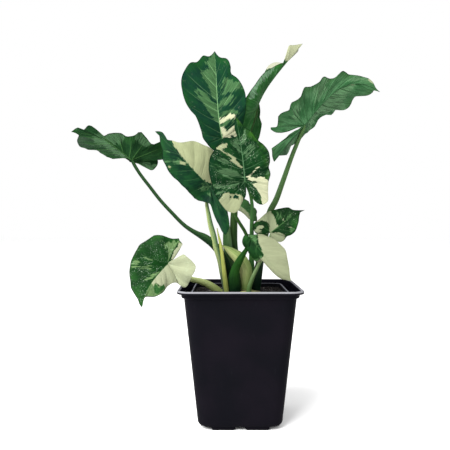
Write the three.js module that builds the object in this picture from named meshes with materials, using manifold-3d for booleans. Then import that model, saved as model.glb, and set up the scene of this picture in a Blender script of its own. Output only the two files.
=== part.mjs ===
// Potted batik alocasia: a clump of variegated elephant-ear leaves in a square nursery pot.
// Millimetres, +Z up. The origin is the middle of the pot's underside, the front faces -Y.
import * as THREE from "three";
import { mergeVertices } from "three/addons/utils/BufferGeometryUtils.js";
import Module from "manifold-3d";

const wasm = await Module();
wasm.setup();

// Clearance kept between pieces that touch
const GAP = 0.32;

// Pot: a square 20 cm nursery pot of about 7 litres
const POT_HEIGHT = 230;
const POT_RIM_HALF = 102.5;
const POT_TOP_HALF = 91.6;
const POT_FOOT_HALF = 70.3;
const POT_WALL = 1.8;
const POT_COLLAR_OUT = 4;
const POT_COLLAR_Z = 216.5;
const POT_LEDGE_Z = 220;
const POT_LIP = 2.2;
const POT_FLANGE_Z = 224.5;
const POT_FLOOR_Z = 5;
const POT_FLOOR_THICK = 2.4;
const POT_EDGE_TOP_Z = 11;
const RIM_CORNER = 25;
const TOP_CORNER = 22;
const FOOT_CORNER = 20;
const CORNER_STEPS = 5;
const FOOT_INNER = 8;
const FOOT_OUTER = 47.8;
const FOOT_DEPTH = 15;
const FOOT_CHAMFER = 3;
const FOOT_INSET = 5;
const CENTRE_PAD_RADIUS = 14;
const DRAIN_RADIUS = 5.5;
const DRAIN_RING = 42;
const DRAIN_COUNT = 8;
const ROUND_SIDES = 16;

// Grow pot: the thin square pot that the plant grew in, standing inside the pot
const LINER_BASE_Z = POT_FLOOR_Z + POT_FLOOR_THICK + GAP;
const LINER_TOP = 224.5;
const LINER_LIP_Z = 219.5;
const LINER_RIM_HALF = 81;
const LINER_TOP_HALF = 79.2;
const LINER_FOOT_HALF = 57;
const LINER_WALL = 1.2;
const LINER_FLOOR_THICK = 1.6;
const LINER_CORNER = 16;

// Soil
const SOIL_TOP = 217;
const SOIL_EDGE = 213;
const SOIL_BUMP = 1.6;
const SOIL_RINGS = [1, 0.86, 0.68, 0.5, 0.3, 0.1];

// Corm: the short stem that the stalks clasp
const CORM_CENTRE = [2, 3];
const CORM_HALF = [43, 31];
const CORM_TOP = 223.5;
const CORM_SHOULDER = 211.5;
const CORM_FOOT = 169.5;

// Blades
const BLADE_HALF_THICK = 0.36;
const RIB_RIDGE = 1.5;
const VEIN_RELIEF = 0.9;
const VEIN_BOW = 0.18;
const VEIN_SLANT = 1.3;
const RIB_EASE = 0.75;
const NOTCH = 5;
const BIG_NET = { ahead: 14, behind: 7, across: [0, 0.09, 0.4, 0.72, 1] };
const SMALL_NET = { ahead: 9, behind: 5, across: [0, 0.12, 0.55, 1] };

// Stalks
const STALK_SIDES = 8;
const STALK_STEP = 22;
const STALK_TOP_TAPER = 0.6;

// Each leaf: the rib as a curve from the stalk to the tip, and for each half its margin as seen
// from the front, [x, z] from the tip round the lobe to the notch. turn is the share of the margin
// ahead of the stalk. lean is how far the half lies back for each millimetre outwards, bulge how
// far it arches between rib and margin, both at the tip, abreast of the stalk and in the lobe.
// wave holds the height, number and start of the margin's waves. slant above 1 makes the veins of a
// half run further towards the tip, and relief is how high the leaf puffs up between its veins.
const LEAVES = {
  top: {
    rib: [[-30, 30, 492], [-41, 18, 537], [-39, 18, 594], [-44, 50, 656]],
    left: {
      margin: [[-53, 644], [-65, 644], [-76, 630], [-88, 626], [-100, 606], [-103, 586], [-98, 561],
        [-88, 541], [-77, 528], [-68, 506], [-63, 488], [-45, 469], [-36, 477]],
      turn: 0.72, lean: [-0.1, -0.2, -0.2], bulge: [1, 4, 3], wave: [2.5, 5, 0.1],
    },
    right: {
      margin: [[-36, 644], [-21, 636], [-15, 622], [-14, 608], [-2, 596], [7, 581], [12, 563],
        [12, 540], [7, 515], [-3, 492], [-16, 478], [-25, 483]],
      turn: 0.66, lean: [-0.1, -0.2, 0], bulge: [1, 4, 3], wave: [2.5, 5, 0.4],
    },
  },
  rolled: {
    rib: [[34, 55, 552], [46, 62, 592], [83, 68, 632], [122, 74, 678]],
    relief: 0.6,
    left: {
      margin: [[114, 672], [114, 665], [110, 660], [98.5, 651], [89, 643], [82, 642], [69, 645.5],
        [57, 637.5], [45, 612], [41, 578], [41, 546], [40, 536], [44, 525], [40, 501], [31, 487],
        [19, 501], [22, 529]],
      turn: 0.5, lean: [0.5, 1.2, 0.5], bulge: [2, 5, 2], wave: [1, 4, 0.2],
    },
    right: {
      margin: [[105, 673], [95, 670], [90, 656], [87.5, 642], [76, 636], [60, 625], [44, 612],
        [28, 590], [15, 568], [4, 545], [2, 521], [8, 501], [17, 494], [25, 525]],
      turn: 0.6, lean: [-0.5, -1.2, -0.3], bulge: [-2, -7, -2], wave: [1, 4, 0],
    },
  },
  front: {
    rib: [[8, -50, 408], [5, -58, 442], [0, -54, 479], [-7, -34, 518]],
    relief: 0.8,
    left: {
      margin: [[-9, 504], [-8, 493], [-6, 484], [-15, 480], [-27, 479], [-33, 469], [-42, 459],
        [-50, 444], [-52, 427], [-49, 411], [-46, 399], [-43, 388], [-38.5, 380], [-31, 369],
        [-20, 357.5], [-6, 356], [3, 372], [10, 385]],
      turn: 0.5, lean: [-0.1, -0.15, -0.1], bulge: [1, 4, 3], wave: [2, 5, 0],
    },
    right: {
      margin: [[0, 510], [8, 499], [18, 491], [29, 476], [39, 467], [47, 455], [49, 440],
        [47, 430], [50, 419], [47, 406], [46, 390], [46, 375], [38, 368.5], [31, 369.5], [24, 375],
        [16, 387]],
      turn: 0.55, lean: [-0.1, -0.15, -0.1], bulge: [1, 4, 3], wave: [2, 5, 0.3],
    },
  },
  far_left: {
    rib: [[-184, -25, 446], [-205, -38, 461], [-238, -50, 496], [-279, -55, 489]],
    relief: 1.3,
    left: {
      margin: [[-269, 495], [-260, 492], [-250, 500], [-239, 494], [-228, 484], [-217, 488],
        [-200, 488], [-189, 483], [-175, 486], [-166, 491], [-158, 483], [-150, 474], [-136, 480],
        [-130, 464], [-131, 451], [-145, 448], [-160, 446], [-174, 445]],
      turn: 0.5, lean: [-0.3, -0.45, 0.45], bulge: [1, 4, 3], wave: [2, 6, 0],
      slant: 1.6,
    },
    right: {
      margin: [[-272, 487], [-269, 484], [-278, 479], [-278, 471], [-265, 467], [-251, 467],
        [-243, 460], [-235, 455], [-212, 452], [-197, 449], [-186, 444], [-176, 441], [-167, 437],
        [-153, 431], [-143, 441], [-144, 450], [-163, 447]],
      turn: 0.5, lean: [1.2, 1.6, 0.6], bulge: [1, 4, 3], wave: [2, 6, 0.3],
      slant: 2.2,
    },
  },
  half_cream: {
    rib: [[-51, -5, 401], [-75, -24, 424], [-105, -26, 458], [-149, 10, 501]],
    relief: 0.6,
    left: {
      margin: [[-140, 492], [-138, 478], [-133, 464], [-132, 449], [-127, 437], [-118, 423],
        [-106, 411], [-96, 399], [-85, 389], [-73, 379], [-60, 374], [-51, 369], [-44, 353],
        [-36, 337], [-29, 322], [-24, 318], [-18, 332], [-21, 357], [-34, 381]],
      turn: 0.45, lean: [-0.4, -0.6, -0.5], bulge: [1, 4, 3], wave: [2.5, 6, 0],
    },
    right: {
      margin: [[-135, 498], [-128, 487], [-117, 482], [-103, 477], [-89, 480], [-77, 481],
        [-65, 475], [-45, 465], [-36, 450], [-30, 428], [-30, 410], [-37, 396]],
      turn: 0.68, lean: [0.1, 0.25, 0.25], bulge: [1, 4, 3], wave: [2.5, 4, 0.2],
    },
  },
  low_left: {
    rib: [[-123, -20, 268], [-128, -42, 262], [-158, -72, 233], [-157, -86, 203]],
    relief: 0.4,
    left: {
      margin: [[-158, 209], [-155.5, 215.5], [-151, 219], [-139, 218], [-127, 224], [-119, 234],
        [-109, 237.5], [-94, 230], [-87, 237], [-78, 251], [-74, 265], [-82, 278], [-93, 286],
        [-102, 281], [-111, 276]],
      turn: 0.4, lean: [-0.1, -0.3, -0.8], bulge: [1, 4, 3], wave: [2, 5, 0.3],
    },
    right: {
      margin: [[-162, 208.5], [-165, 215], [-170.5, 221.5], [-179, 233], [-181, 242],
        [-184.5, 255], [-185, 274], [-181.5, 285], [-173.5, 299.5], [-161, 309], [-149, 317],
        [-135, 316.5], [-120, 312], [-112, 311.5], [-106.5, 313], [-104, 308], [-99, 302],
        [-101, 298], [-106, 288.5], [-112, 279]],
      turn: 0.42, lean: [0, 0.2, 0.3], bulge: [1, 4, 3], wave: [2, 5, 0],
    },
  },
  far_right: {
    rib: [[120, 35, 517], [146, 25, 551], [199, 20, 623], [251, 15, 572]],
    relief: 1.4,
    left: {
      margin: [[242, 576], [240, 573], [233, 570], [215, 570], [211, 565], [209, 557], [198, 551],
        [182, 550], [176, 541], [163, 540], [147, 533], [145, 522], [136, 511], [124, 505],
        [114, 496], [99, 480], [91, 467], [71, 459], [62, 445], [55, 466], [64, 474], [83, 490],
        [105, 507]],
      turn: 0.5, lean: [1, 1.6, -0.5], bulge: [1, 4, 3], wave: [2.5, 7, 0.3],
      slant: 2.2,
    },
    right: {
      margin: [[244, 579], [237, 591], [227, 598], [212, 601], [198, 602], [183, 609], [172, 598],
        [162, 595], [150, 598], [140, 588], [127, 580], [116, 578], [109, 564], [102, 557],
        [94, 553], [90, 541], [79, 537], [70, 530], [69, 512], [54, 508], [66, 500], [88, 503],
        [105, 511]],
      turn: 0.55, lean: [-0.3, -0.5, -0.3], bulge: [1, 4, 3], wave: [2.5, 7, 0],
      slant: 1.6,
    },
  },
  small_right: {
    rib: [[54, -25, 323], [68, -35, 333], [85, -35, 352], [111, -28, 360.5]],
    relief: 0.4,
    notch: 3,
    small: true,
    left: {
      margin: [[101, 360], [90, 361], [82, 365], [69, 363], [52, 359], [45, 355], [34, 345],
        [25, 338], [24, 328], [29, 320], [40, 318]],
      turn: 0.45, lean: [0, 0.2, 0.2], bulge: [0.5, 2, 2], wave: [1, 4, 0],
    },
    right: {
      margin: [[104, 358], [101, 350], [99, 339], [94, 325], [87, 318.5], [80, 315.5], [75, 308.5],
        [68, 306], [60, 309], [54, 314]],
      turn: 0.6, lean: [0, -0.2, -0.1], bulge: [0.5, 2, 2], wave: [1, 4, 0.2],
    },
  },
  drooping: {
    rib: [[18, -50, 313], [36, -62, 291], [55, -66, 258], [83, -66, 244]],
    relief: 0.4,
    notch: 3,
    small: true,
    left: {
      margin: [[81, 252], [80, 265], [77, 281], [74, 295], [64, 305], [55, 313], [43, 318],
        [33, 320], [23, 319], [13, 320]],
      turn: 0.7, lean: [0, 0.2, 0.2], bulge: [0.5, 3, 1], wave: [1.5, 4, 0],
    },
    right: {
      margin: [[71, 246], [62, 249.5], [49, 262.5], [39, 276], [30, 273], [22, 278], [13, 292],
        [5, 302], [4, 310], [8, 318]],
      turn: 0.62, lean: [0, 0.3, 0.3], bulge: [0, 10, 9], wave: [0.5, 4, 0.2],
    },
  },
  tucked: {
    rib: [[-4, 5, 372], [8, 0, 365], [20, -4, 354], [31, -6, 341]],
    relief: 0.4,
    notch: 3,
    small: true,
    left: {
      margin: [[31, 347], [30, 353], [31, 359], [27, 365], [20, 370], [16, 377], [8, 382],
        [-1, 380], [-6, 378]],
      turn: 0.65, lean: [0, 0.2, 0.2], bulge: [0.5, 2, 1], wave: [1, 4, 0],
    },
    right: {
      margin: [[19, 344], [8, 354.5], [1, 359.5], [-6, 361.5], [-9, 367]],
      turn: 0.6, lean: [0, -0.2, -0.2], bulge: [0.5, 2, 1], wave: [1, 4, 0.2],
    },
  },
};

// Each stalk: points [x, y, z, half width] from the corm up to its blade. flat is how deep the
// section is for its width at the foot, where the stalk opens into a sheath. Earlier stalks are
// clasped by later ones.
const STALKS = {
  rolled: { flat: 0.8, path: [[-1, 24, 206, 8], [-2, 25, 240, 6.8], [-4.5, 27, 268, 6.8],
    [-9.2, 28, 299, 7], [-9.4, 29, 330, 6.9], [-7.8, 31, 362, 6.1], [4, 42, 436, 4.2],
    [21, 56, 508, 3.5], [34, 58, 547, 3]] },
  top: { flat: 0.9, path: [[-19, 16, 206, 8], [-16, 15, 240, 7], [-15.5, 15, 262, 6.8],
    [-18.5, 15, 280, 7.6], [-20.4, 16, 299, 8.2], [-22, 18, 325, 6.6], [-24.3, 22, 353, 4.8],
    [-27, 31, 426, 3.8], [-30, 34, 488, 3]] },
  far_right: { flat: 0.7, path: [[26, 8, 206, 9.5], [30.5, 8, 238, 9.4], [35.5, 9, 263, 7.3],
    [40, 10, 289, 6.5], [48, 12, 326, 6], [55, 15, 358, 5.6], [66.3, 18, 380, 5.2],
    [78.5, 23, 412, 4.6], [95.4, 29, 458, 4], [110, 34, 493, 3.6], [119, 37, 514, 3.2]] },
  tucked: { flat: 1, path: [[22, 18, 206, 3.5], [24.5, 17, 240, 3], [24.5, 14, 266, 2.8],
    [20, 11, 291, 2.8], [12, 8, 319.5, 3], [-1, 6, 341.5, 2.9], [-7, 7, 354, 2.4],
    [-6, 7, 365, 2.1]] },
  far_left: { flat: 0.7, path: [[-13, 4, 206, 7], [-15, 2, 240, 6.5], [-25, -2, 271, 7],
    [-43, -6, 299, 7.2], [-60, -9, 313, 6.6], [-75, -11, 321, 4.4], [-94.5, -14, 334, 3.4],
    [-119.5, -18, 359.3, 3.1], [-136.8, -20, 378.4, 3], [-153.3, -22, 399.8, 2.9],
    [-171, -24, 423.3, 2.8], [-182.5, -25, 442.5, 2.6]] },
  low_left: { flat: 0.7, path: [[-27, 5, 208, 9], [-45, -1, 225, 7], [-57, -5, 232.5, 6.2],
    [-69, -9, 237.5, 5.4], [-84, -12, 241.5, 4.6], [-103, -15, 254, 3.6], [-121, -17, 266, 3]] },
  front: { flat: 0.8, path: [[20, 8, 206, 6], [21.5, 6, 257, 5], [21.5, -3, 301, 3.9],
    [21.2, -18, 340, 3.5], [20.8, -32, 369, 3], [17, -42, 388, 2.6], [11, -48, 402, 2.4]] },
  small_right: { flat: 0.9, path: [[13, -14, 206, 4.5], [18.2, -14, 231, 4], [22.5, -14, 243, 3.6],
    [28, -15, 256, 3.2], [35, -16, 270.5, 2.8], [43, -18, 288, 2.4], [53, -23, 318, 2]] },
  half_cream: { flat: 0.9, path: [[-21, -10, 206, 5], [-24, -10, 225, 5], [-29, -10, 248, 5],
    [-33.8, -10, 274, 5], [-41.5, -10, 300, 5.2], [-45, -9, 317, 5], [-50, -8, 335, 4.5],
    [-54, -5, 355, 3.7], [-57, -2, 374, 3], [-55, 0, 391, 2.5], [-51, -1, 399, 2.2]] },
  drooping: { flat: 0.5, path: [[-8, -14, 206, 9.5], [-8.3, -15, 223, 11.2],
    [-9.5, -16, 240, 10.3], [-7.2, -18, 258, 7.6], [0.3, -24, 275, 6.2], [5.2, -29, 284, 4.8],
    [10.2, -35, 292.5, 3.6], [18, -45, 310, 2.4]] },
};

// Two pale young growths beside the stalks: a bent sheath leaf and a thin spear
const SHEATH = { flat: 0.35, path: [[12, -4, 206, 7.5], [12, -4, 239, 9.5], [10.5, -4, 258, 11.4],
  [0.5, -3, 276, 11.4], [-11, -2, 286, 8.5], [-21, -1, 293.5, 4.8], [-30, -1, 299, 0.8]] };
const SPEAR = { flat: 0.8, path: [[-20, -20, 206, 4], [-22.8, -20, 224, 4.2],
  [-24.8, -20, 241, 4.1], [-26.9, -20, 258, 3.7], [-29.2, -20, 277, 3.2], [-31, -19.5, 292, 3.1],
  [-33.4, -19, 305, 2.5], [-36.2, -19, 317, 1.5], [-38.8, -19, 330, 0.6]] };

// Materials
const finish = (colour, roughness) =>
  new THREE.MeshStandardMaterial({ color: colour, roughness, metalness: 0 });
const POT_BLACK = finish(0x1a1a20, 0.42);
const SOIL_BROWN = finish(0x2a211b, 0.95);
const CORM_BROWN = finish(0x6f7448, 0.7);
const LEAF_GREEN = finish(0x24582c, 0.45);
const LEAF_CREAM = finish(0xc9d2a0, 0.5);
const STALK_GREEN = finish(0x3d6b34, 0.5);
const STALK_PALE = finish(0xa7b866, 0.5);
const CREAM_LEAVES = ["drooping", "low_left"];
const PALE_STALKS = ["half_cream", "low_left"];

const vector = ([x, y, z]) => new THREE.Vector3(x, y, z);

// A closed mesh from a list of points and a list of triangles
function meshGeometry(points, triangles) {
  const geometry = new THREE.BufferGeometry();
  geometry.setAttribute("position", new THREE.Float32BufferAttribute(points.flat(), 3));
  geometry.setIndex(triangles.flat());
  return geometry;
}

function toSolid(geometry) {
  const bare = geometry.clone();
  bare.deleteAttribute("normal");
  bare.deleteAttribute("uv");
  const merged = mergeVertices(bare, 1e-4);
  return new wasm.Manifold(new wasm.Mesh({
    numProp: 3,
    vertProperties: new Float32Array(merged.attributes.position.array),
    triVerts: new Uint32Array(merged.index.array),
  }));
}

// The biggest body of a solid, as a geometry; loose scraps are dropped
function toGeometry(solid) {
  const bodies = solid.decompose().sort((a, b) => b.volume() - a.volume());
  const mesh = bodies[0].getMesh();
  const geometry = new THREE.BufferGeometry();
  geometry.setAttribute("position", new THREE.BufferAttribute(mesh.vertProperties, 3));
  geometry.setIndex(new THREE.BufferAttribute(mesh.triVerts, 1));
  return geometry;
}

// A closed skin over rings of equal length, listed from one end to the other
function loft(rings) {
  const count = rings[0].length;
  const points = rings.flat();
  const triangles = [];
  for (let k = 0; k + 1 < rings.length; k++) {
    for (let i = 0; i < count; i++) {
      const a = k * count + i;
      const b = k * count + (i + 1) % count;
      triangles.push([a, b, b + count], [a, b + count, a + count]);
    }
  }
  const last = (rings.length - 1) * count;
  for (let i = 1; i + 1 < count; i++) {
    triangles.push([0, i + 1, i], [last, last + i, last + i + 1]);
  }
  return meshGeometry(points, triangles);
}

// A square with rounded corners at height z
function roundedSquare(half, corner, z) {
  const ring = [];
  for (let quarter = 0; quarter < 4; quarter++) {
    for (let step = 0; step <= CORNER_STEPS; step++) {
      const angle = (quarter + step / CORNER_STEPS) * Math.PI / 2;
      const turn = (quarter + 0.5) * Math.PI / 2;
      const centre = (half - corner) * Math.SQRT2;
      ring.push([
        centre * Math.cos(turn) + corner * Math.cos(angle),
        centre * Math.sin(turn) + corner * Math.sin(angle),
        z,
      ]);
    }
  }
  return ring;
}

// Half width of the pot's wall outside at height z
function potHalf(z) {
  return THREE.MathUtils.mapLinear(z, POT_EDGE_TOP_Z, POT_COLLAR_Z, POT_FOOT_HALF, POT_TOP_HALF);
}

// Rounded squares from the foot to the rim: the lower edge, the wall, the collar, the rim's flange
function potOutside() {
  const collarHalf = POT_TOP_HALF + POT_COLLAR_OUT;
  const profile = [
    [POT_FOOT_HALF - 7, FOOT_CORNER - 5, POT_FLOOR_Z],
    [POT_FOOT_HALF - 3, FOOT_CORNER - 2, POT_FLOOR_Z + 1.2],
    [POT_FOOT_HALF - 1, FOOT_CORNER - 1, POT_FLOOR_Z + 3.5],
    [POT_FOOT_HALF, FOOT_CORNER, POT_EDGE_TOP_Z],
    [POT_TOP_HALF, TOP_CORNER, POT_COLLAR_Z],
    [collarHalf, TOP_CORNER + 2, POT_COLLAR_Z + 1.2],
    [collarHalf + 0.6, TOP_CORNER + 2, POT_FLANGE_Z - 0.6],
    [POT_RIM_HALF - 0.8, RIM_CORNER, POT_FLANGE_Z],
    [POT_RIM_HALF, RIM_CORNER, POT_FLANGE_Z + 1],
    [POT_RIM_HALF, RIM_CORNER, POT_HEIGHT - 1.4],
    [POT_RIM_HALF - 1.2, RIM_CORNER - 1, POT_HEIGHT],
  ];
  return loft(profile.map((row) => roundedSquare(...row)));
}

// The hollow: floor, wall, the ledge behind the collar, and the slope up to the thin lip
function potInside() {
  const floor = POT_FLOOR_Z + POT_FLOOR_THICK;
  const collar = POT_TOP_HALF + POT_COLLAR_OUT - POT_WALL;
  const mouth = POT_RIM_HALF - POT_LIP;
  const profile = [
    [POT_FOOT_HALF - 10, FOOT_CORNER - 4, floor],
    [potHalf(POT_EDGE_TOP_Z) - POT_WALL, FOOT_CORNER - POT_WALL, POT_EDGE_TOP_Z + 1],
    [potHalf(POT_LEDGE_Z) - POT_WALL, TOP_CORNER - POT_WALL, POT_LEDGE_Z],
    [collar, TOP_CORNER, POT_LEDGE_Z + 1.2],
    [collar + 0.6, TOP_CORNER, POT_FLANGE_Z + 1],
    [mouth - 0.6, RIM_CORNER - POT_LIP, POT_HEIGHT - 1],
    [mouth, RIM_CORNER - POT_LIP, POT_HEIGHT + 1],
  ];
  return loft(profile.map((row) => roundedSquare(...row)));
}

// One foot under a side of the pot, with chamfered ends, running from inner to outer
function footBlock() {
  const outline = new THREE.Shape([
    new THREE.Vector2(FOOT_INNER, POT_FLOOR_Z + 6),
    new THREE.Vector2(FOOT_INNER, FOOT_CHAMFER),
    new THREE.Vector2(FOOT_INNER + FOOT_CHAMFER, 0),
    new THREE.Vector2(FOOT_OUTER - FOOT_CHAMFER, 0),
    new THREE.Vector2(FOOT_OUTER, FOOT_CHAMFER),
    new THREE.Vector2(FOOT_OUTER, POT_FLOOR_Z + 6),
  ]);
  const block = new THREE.ExtrudeGeometry(outline, { depth: FOOT_DEPTH, bevelEnabled: false });
  block.rotateX(Math.PI / 2);
  return block.translate(0, FOOT_INSET - POT_FOOT_HALF + FOOT_DEPTH, 0);
}

function cylinder(radius, bottom, top, x, y) {
  const geometry = new THREE.CylinderGeometry(radius, radius, top - bottom, ROUND_SIDES);
  return toSolid(geometry.rotateX(Math.PI / 2).translate(x, y, (top + bottom) / 2));
}

function buildPot() {
  let pot = toSolid(potOutside());
  for (let side = 0; side < 4; side++) {
    for (const mirror of [1, -1]) {
      const foot = footBlock();
      if (mirror < 0) foot.translate(-(FOOT_INNER + FOOT_OUTER), 0, 0);
      pot = pot.add(toSolid(foot.rotateZ(side * Math.PI / 2)));
    }
  }
  pot = pot.subtract(toSolid(potInside()));
  pot = pot.add(cylinder(CENTRE_PAD_RADIUS, 0, POT_FLOOR_Z + POT_FLOOR_THICK / 2, 0, 0));
  for (let k = 0; k < DRAIN_COUNT; k++) {
    const angle = (k + 0.5) * 2 * Math.PI / DRAIN_COUNT;
    const x = DRAIN_RING * Math.cos(angle);
    const y = DRAIN_RING * Math.sin(angle);
    pot = pot.subtract(cylinder(DRAIN_RADIUS, -1, POT_FLOOR_Z + POT_FLOOR_THICK + 1, x, y));
  }
  return pot;
}

// Half width of the grow pot's wall outside at height z
function linerHalf(z) {
  return THREE.MathUtils.mapLinear(z, LINER_BASE_Z, LINER_LIP_Z, LINER_FOOT_HALF, LINER_TOP_HALF);
}

function buildGrowPot() {
  const floor = LINER_BASE_Z + LINER_FLOOR_THICK;
  const corner = LINER_CORNER - LINER_WALL;
  const outside = [
    [LINER_FOOT_HALF - 2, LINER_CORNER - 2, LINER_BASE_Z],
    [linerHalf(LINER_BASE_Z + 2), LINER_CORNER, LINER_BASE_Z + 2],
    [LINER_TOP_HALF, LINER_CORNER, LINER_LIP_Z],
    [LINER_RIM_HALF, LINER_CORNER + 1, LINER_LIP_Z + 0.8],
    [LINER_RIM_HALF, LINER_CORNER + 1, LINER_TOP],
  ];
  const inside = [
    [linerHalf(floor) - LINER_WALL - 1, corner - 1, floor],
    [linerHalf(floor + 2) - LINER_WALL, corner, floor + 2],
    [LINER_TOP_HALF - LINER_WALL, corner, LINER_LIP_Z],
    [LINER_TOP_HALF - LINER_WALL + 0.6, corner, LINER_TOP + 1],
  ];
  const shell = (profile) => toSolid(loft(profile.map((row) => roundedSquare(...row))));
  return shell(outside).subtract(shell(inside));
}

// Soil: fills the grow pot nearly to its rim, with a gently lumpy surface
function buildSoil() {
  const floor = LINER_BASE_Z + LINER_FLOOR_THICK + GAP;
  const fill = (z) => linerHalf(z) - LINER_WALL - GAP;
  const corner = LINER_CORNER - LINER_WALL - GAP;
  const rings = [
    roundedSquare(fill(floor) - 1.5, corner - 1.5, floor),
    roundedSquare(fill(floor + 3), corner, floor + 3),
    roundedSquare(fill(SOIL_EDGE), corner, SOIL_EDGE),
  ];
  for (const share of SOIL_RINGS) {
    const ring = roundedSquare(fill(SOIL_TOP) * share, corner * share, SOIL_TOP);
    const rise = SOIL_BUMP * Math.min(1, 4 * (1 - share));
    rings.push(ring.map(([x, y, z]) => [x, y, z + rise * lump(x, y)]));
  }
  return toSolid(loft(rings));
}

// A smooth uneven height between about -1 and 1
function lump(x, y) {
  return (Math.sin(x * 0.13 + 1) * Math.cos(y * 0.11) + Math.sin(x * 0.05 - y * 0.09 + 2)) / 2;
}

// Corm: an oval knob whose ringed top stands out of the soil, tapering down into it
function buildCorm(grow = 0) {
  const profile = [
    [0, CORM_FOOT - grow], [0.34, CORM_FOOT - grow], [0.62, CORM_FOOT + 12], [0.9, CORM_FOOT + 27],
    [1, CORM_SHOULDER], [0.9, CORM_SHOULDER + 5], [0.62, CORM_TOP - 3], [0, CORM_TOP + grow],
  ];
  const points = profile.map(([share, z], k) => {
    const ends = k === 0 || k === profile.length - 1;
    return new THREE.Vector2(ends ? 0 : share + grow / CORM_HALF[1], z + (k > 4 && !ends ? grow : 0));
  });
  const corm = new THREE.LatheGeometry(points, 24).rotateX(Math.PI / 2);
  corm.scale(CORM_HALF[0], CORM_HALF[1], 1);
  return toSolid(corm.translate(CORM_CENTRE[0], CORM_CENTRE[1], 0));
}

// A stalk: oval rings along a smooth curve, grown by a margin when it cuts its neighbours
function buildStalk({ path, flat }, grow = 0) {
  const curve = new THREE.CatmullRomCurve3(path.map(vector), false, "centripetal");
  const steps = Math.max(5, Math.round(curve.getLength() / STALK_STEP));
  const rings = [];
  for (let k = 0; k <= steps; k++) {
    const t = k / steps;
    const centre = curve.getPoint(t);
    const ahead = curve.getTangent(t);
    const across = new THREE.Vector3(0, 1, 0).cross(ahead).normalize();
    const depth = ahead.clone().cross(across).normalize();
    const place = t * (path.length - 1);
    const low = Math.min(Math.floor(place), path.length - 2);
    const half = THREE.MathUtils.lerp(path[low][3], path[low + 1][3], place - low) + grow;
    const deep = half * THREE.MathUtils.lerp(flat, 1, t);
    const end = k === 0 ? -grow : k === steps ? grow : 0;
    rings.push(Array.from({ length: STALK_SIDES }, (_, i) => {
      const angle = (i / STALK_SIDES) * 2 * Math.PI;
      return centre.clone()
        .addScaledVector(across, half * Math.cos(angle))
        .addScaledVector(depth, (deep + grow * (1 - flat)) * Math.sin(angle))
        .addScaledVector(ahead, end)
        .toArray();
    }));
  }
  return toSolid(loft(rings));
}

// A value given at the tip, abreast of the stalk and in the lobe, at share s of the margin
function alongMargin([tip, middle, lobe], s, turn) {
  if (s < turn) return THREE.MathUtils.lerp(tip, middle, s / turn);
  const behind = Math.min(2 * (s - turn) / (1 - turn), 1);
  return THREE.MathUtils.lerp(middle, lobe, Math.sin(behind * Math.PI / 2));
}

// The rows of one half of a blade: foot on the rib, margin, normal, arch and wave of each
function halfRows(leaf, half, side, net) {
  const rib = new THREE.CubicBezierCurve3(...leaf.rib.map(vector));
  const tip = rib.getPoint(1);
  const stalk = rib.getPoint(0);
  const notch = stalk.clone().addScaledVector(rib.getTangent(0), -(leaf.notch ?? NOTCH));
  const edge = new THREE.SplineCurve([
    new THREE.Vector2(tip.x, tip.z),
    ...half.margin.map(([x, z]) => new THREE.Vector2(x, z)),
    new THREE.Vector2(notch.x, notch.z),
  ]);
  edge.arcLengthDivisions = 400;
  const last = net.ahead + net.behind;
  const rows = [];
  for (let i = 0; i <= last; i++) {
    const share = Math.min(i / net.ahead, 1);
    const s = i <= net.ahead
      ? half.turn * share ** (half.slant ?? VEIN_SLANT)
      : half.turn + (1 - half.turn) * (i - net.ahead) / net.behind;
    const t = 1 - share ** RIB_EASE;
    const foot = rib.getPointAt(t);
    const front = edge.getPointAt(s);
    const abreast = rib.getPointAt(Math.max(0, 1 - s / half.turn));
    const reach = Math.hypot(front.x - abreast.x, front.y - abreast.z);
    const deep = abreast.y + alongMargin(half.lean, s, half.turn) * reach;
    const margin = new THREE.Vector3(front.x, deep, front.y);
    if (i === 0) margin.copy(tip);
    if (i === last) margin.copy(notch);
    rows.push({ s, foot, margin, ahead: rib.getTangentAt(t) });
  }
  rows.forEach((row, i) => setNormal(rows, i, half, side));
  rows[0].normal.copy(rows[2].normal);
  rows[1].normal.copy(rows[2].normal);
  rows[last].normal.copy(rows[last - 1].normal);
  return rows;
}

// Upper-face normal of a row: square to rib and vein ahead of the stalk, square to the fan behind
function setNormal(rows, i, half, side) {
  const row = rows[i];
  const vein = row.margin.clone().sub(row.foot);
  const flat = row.ahead.clone().cross(vein).normalize().multiplyScalar(-side);
  const next = rows[Math.min(i + 1, rows.length - 1)].margin;
  const previous = rows[Math.max(i - 1, 0)].margin;
  const fan = next.clone().sub(previous).cross(vein).normalize().multiplyScalar(side);
  const behind = THREE.MathUtils.clamp((row.s / half.turn - 0.8) / 0.2, 0, 1);
  row.normal = flat.lerp(fan, behind).normalize();
}

// A point of a row at share r of the way from rib to margin
function rowPoint(row, r, half, index, relief) {
  const { s, foot, margin, normal, ahead } = row;
  const vein = margin.clone().sub(foot);
  const open = Math.sqrt(Math.max(0, Math.sin(Math.PI * s)));
  const fade = THREE.MathUtils.clamp(1 - (s - half.turn) / 0.1, 0, 1);
  const arch = 4 * r * (1 - r);
  const [height, count, start] = half.wave;
  const wave = height * open * Math.sin(2 * Math.PI * (count * s + start)) * r ** 1.6;
  const ridge = relief * open * arch * (index % 2 ? -1 : 1);
  return foot.clone()
    .addScaledVector(vein, r)
    .addScaledVector(ahead, -VEIN_BOW * vein.length() * r * (1 - r) * fade)
    .addScaledVector(normal, alongMargin(half.bulge, s, half.turn) * open * arch + wave + ridge);
}

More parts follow.
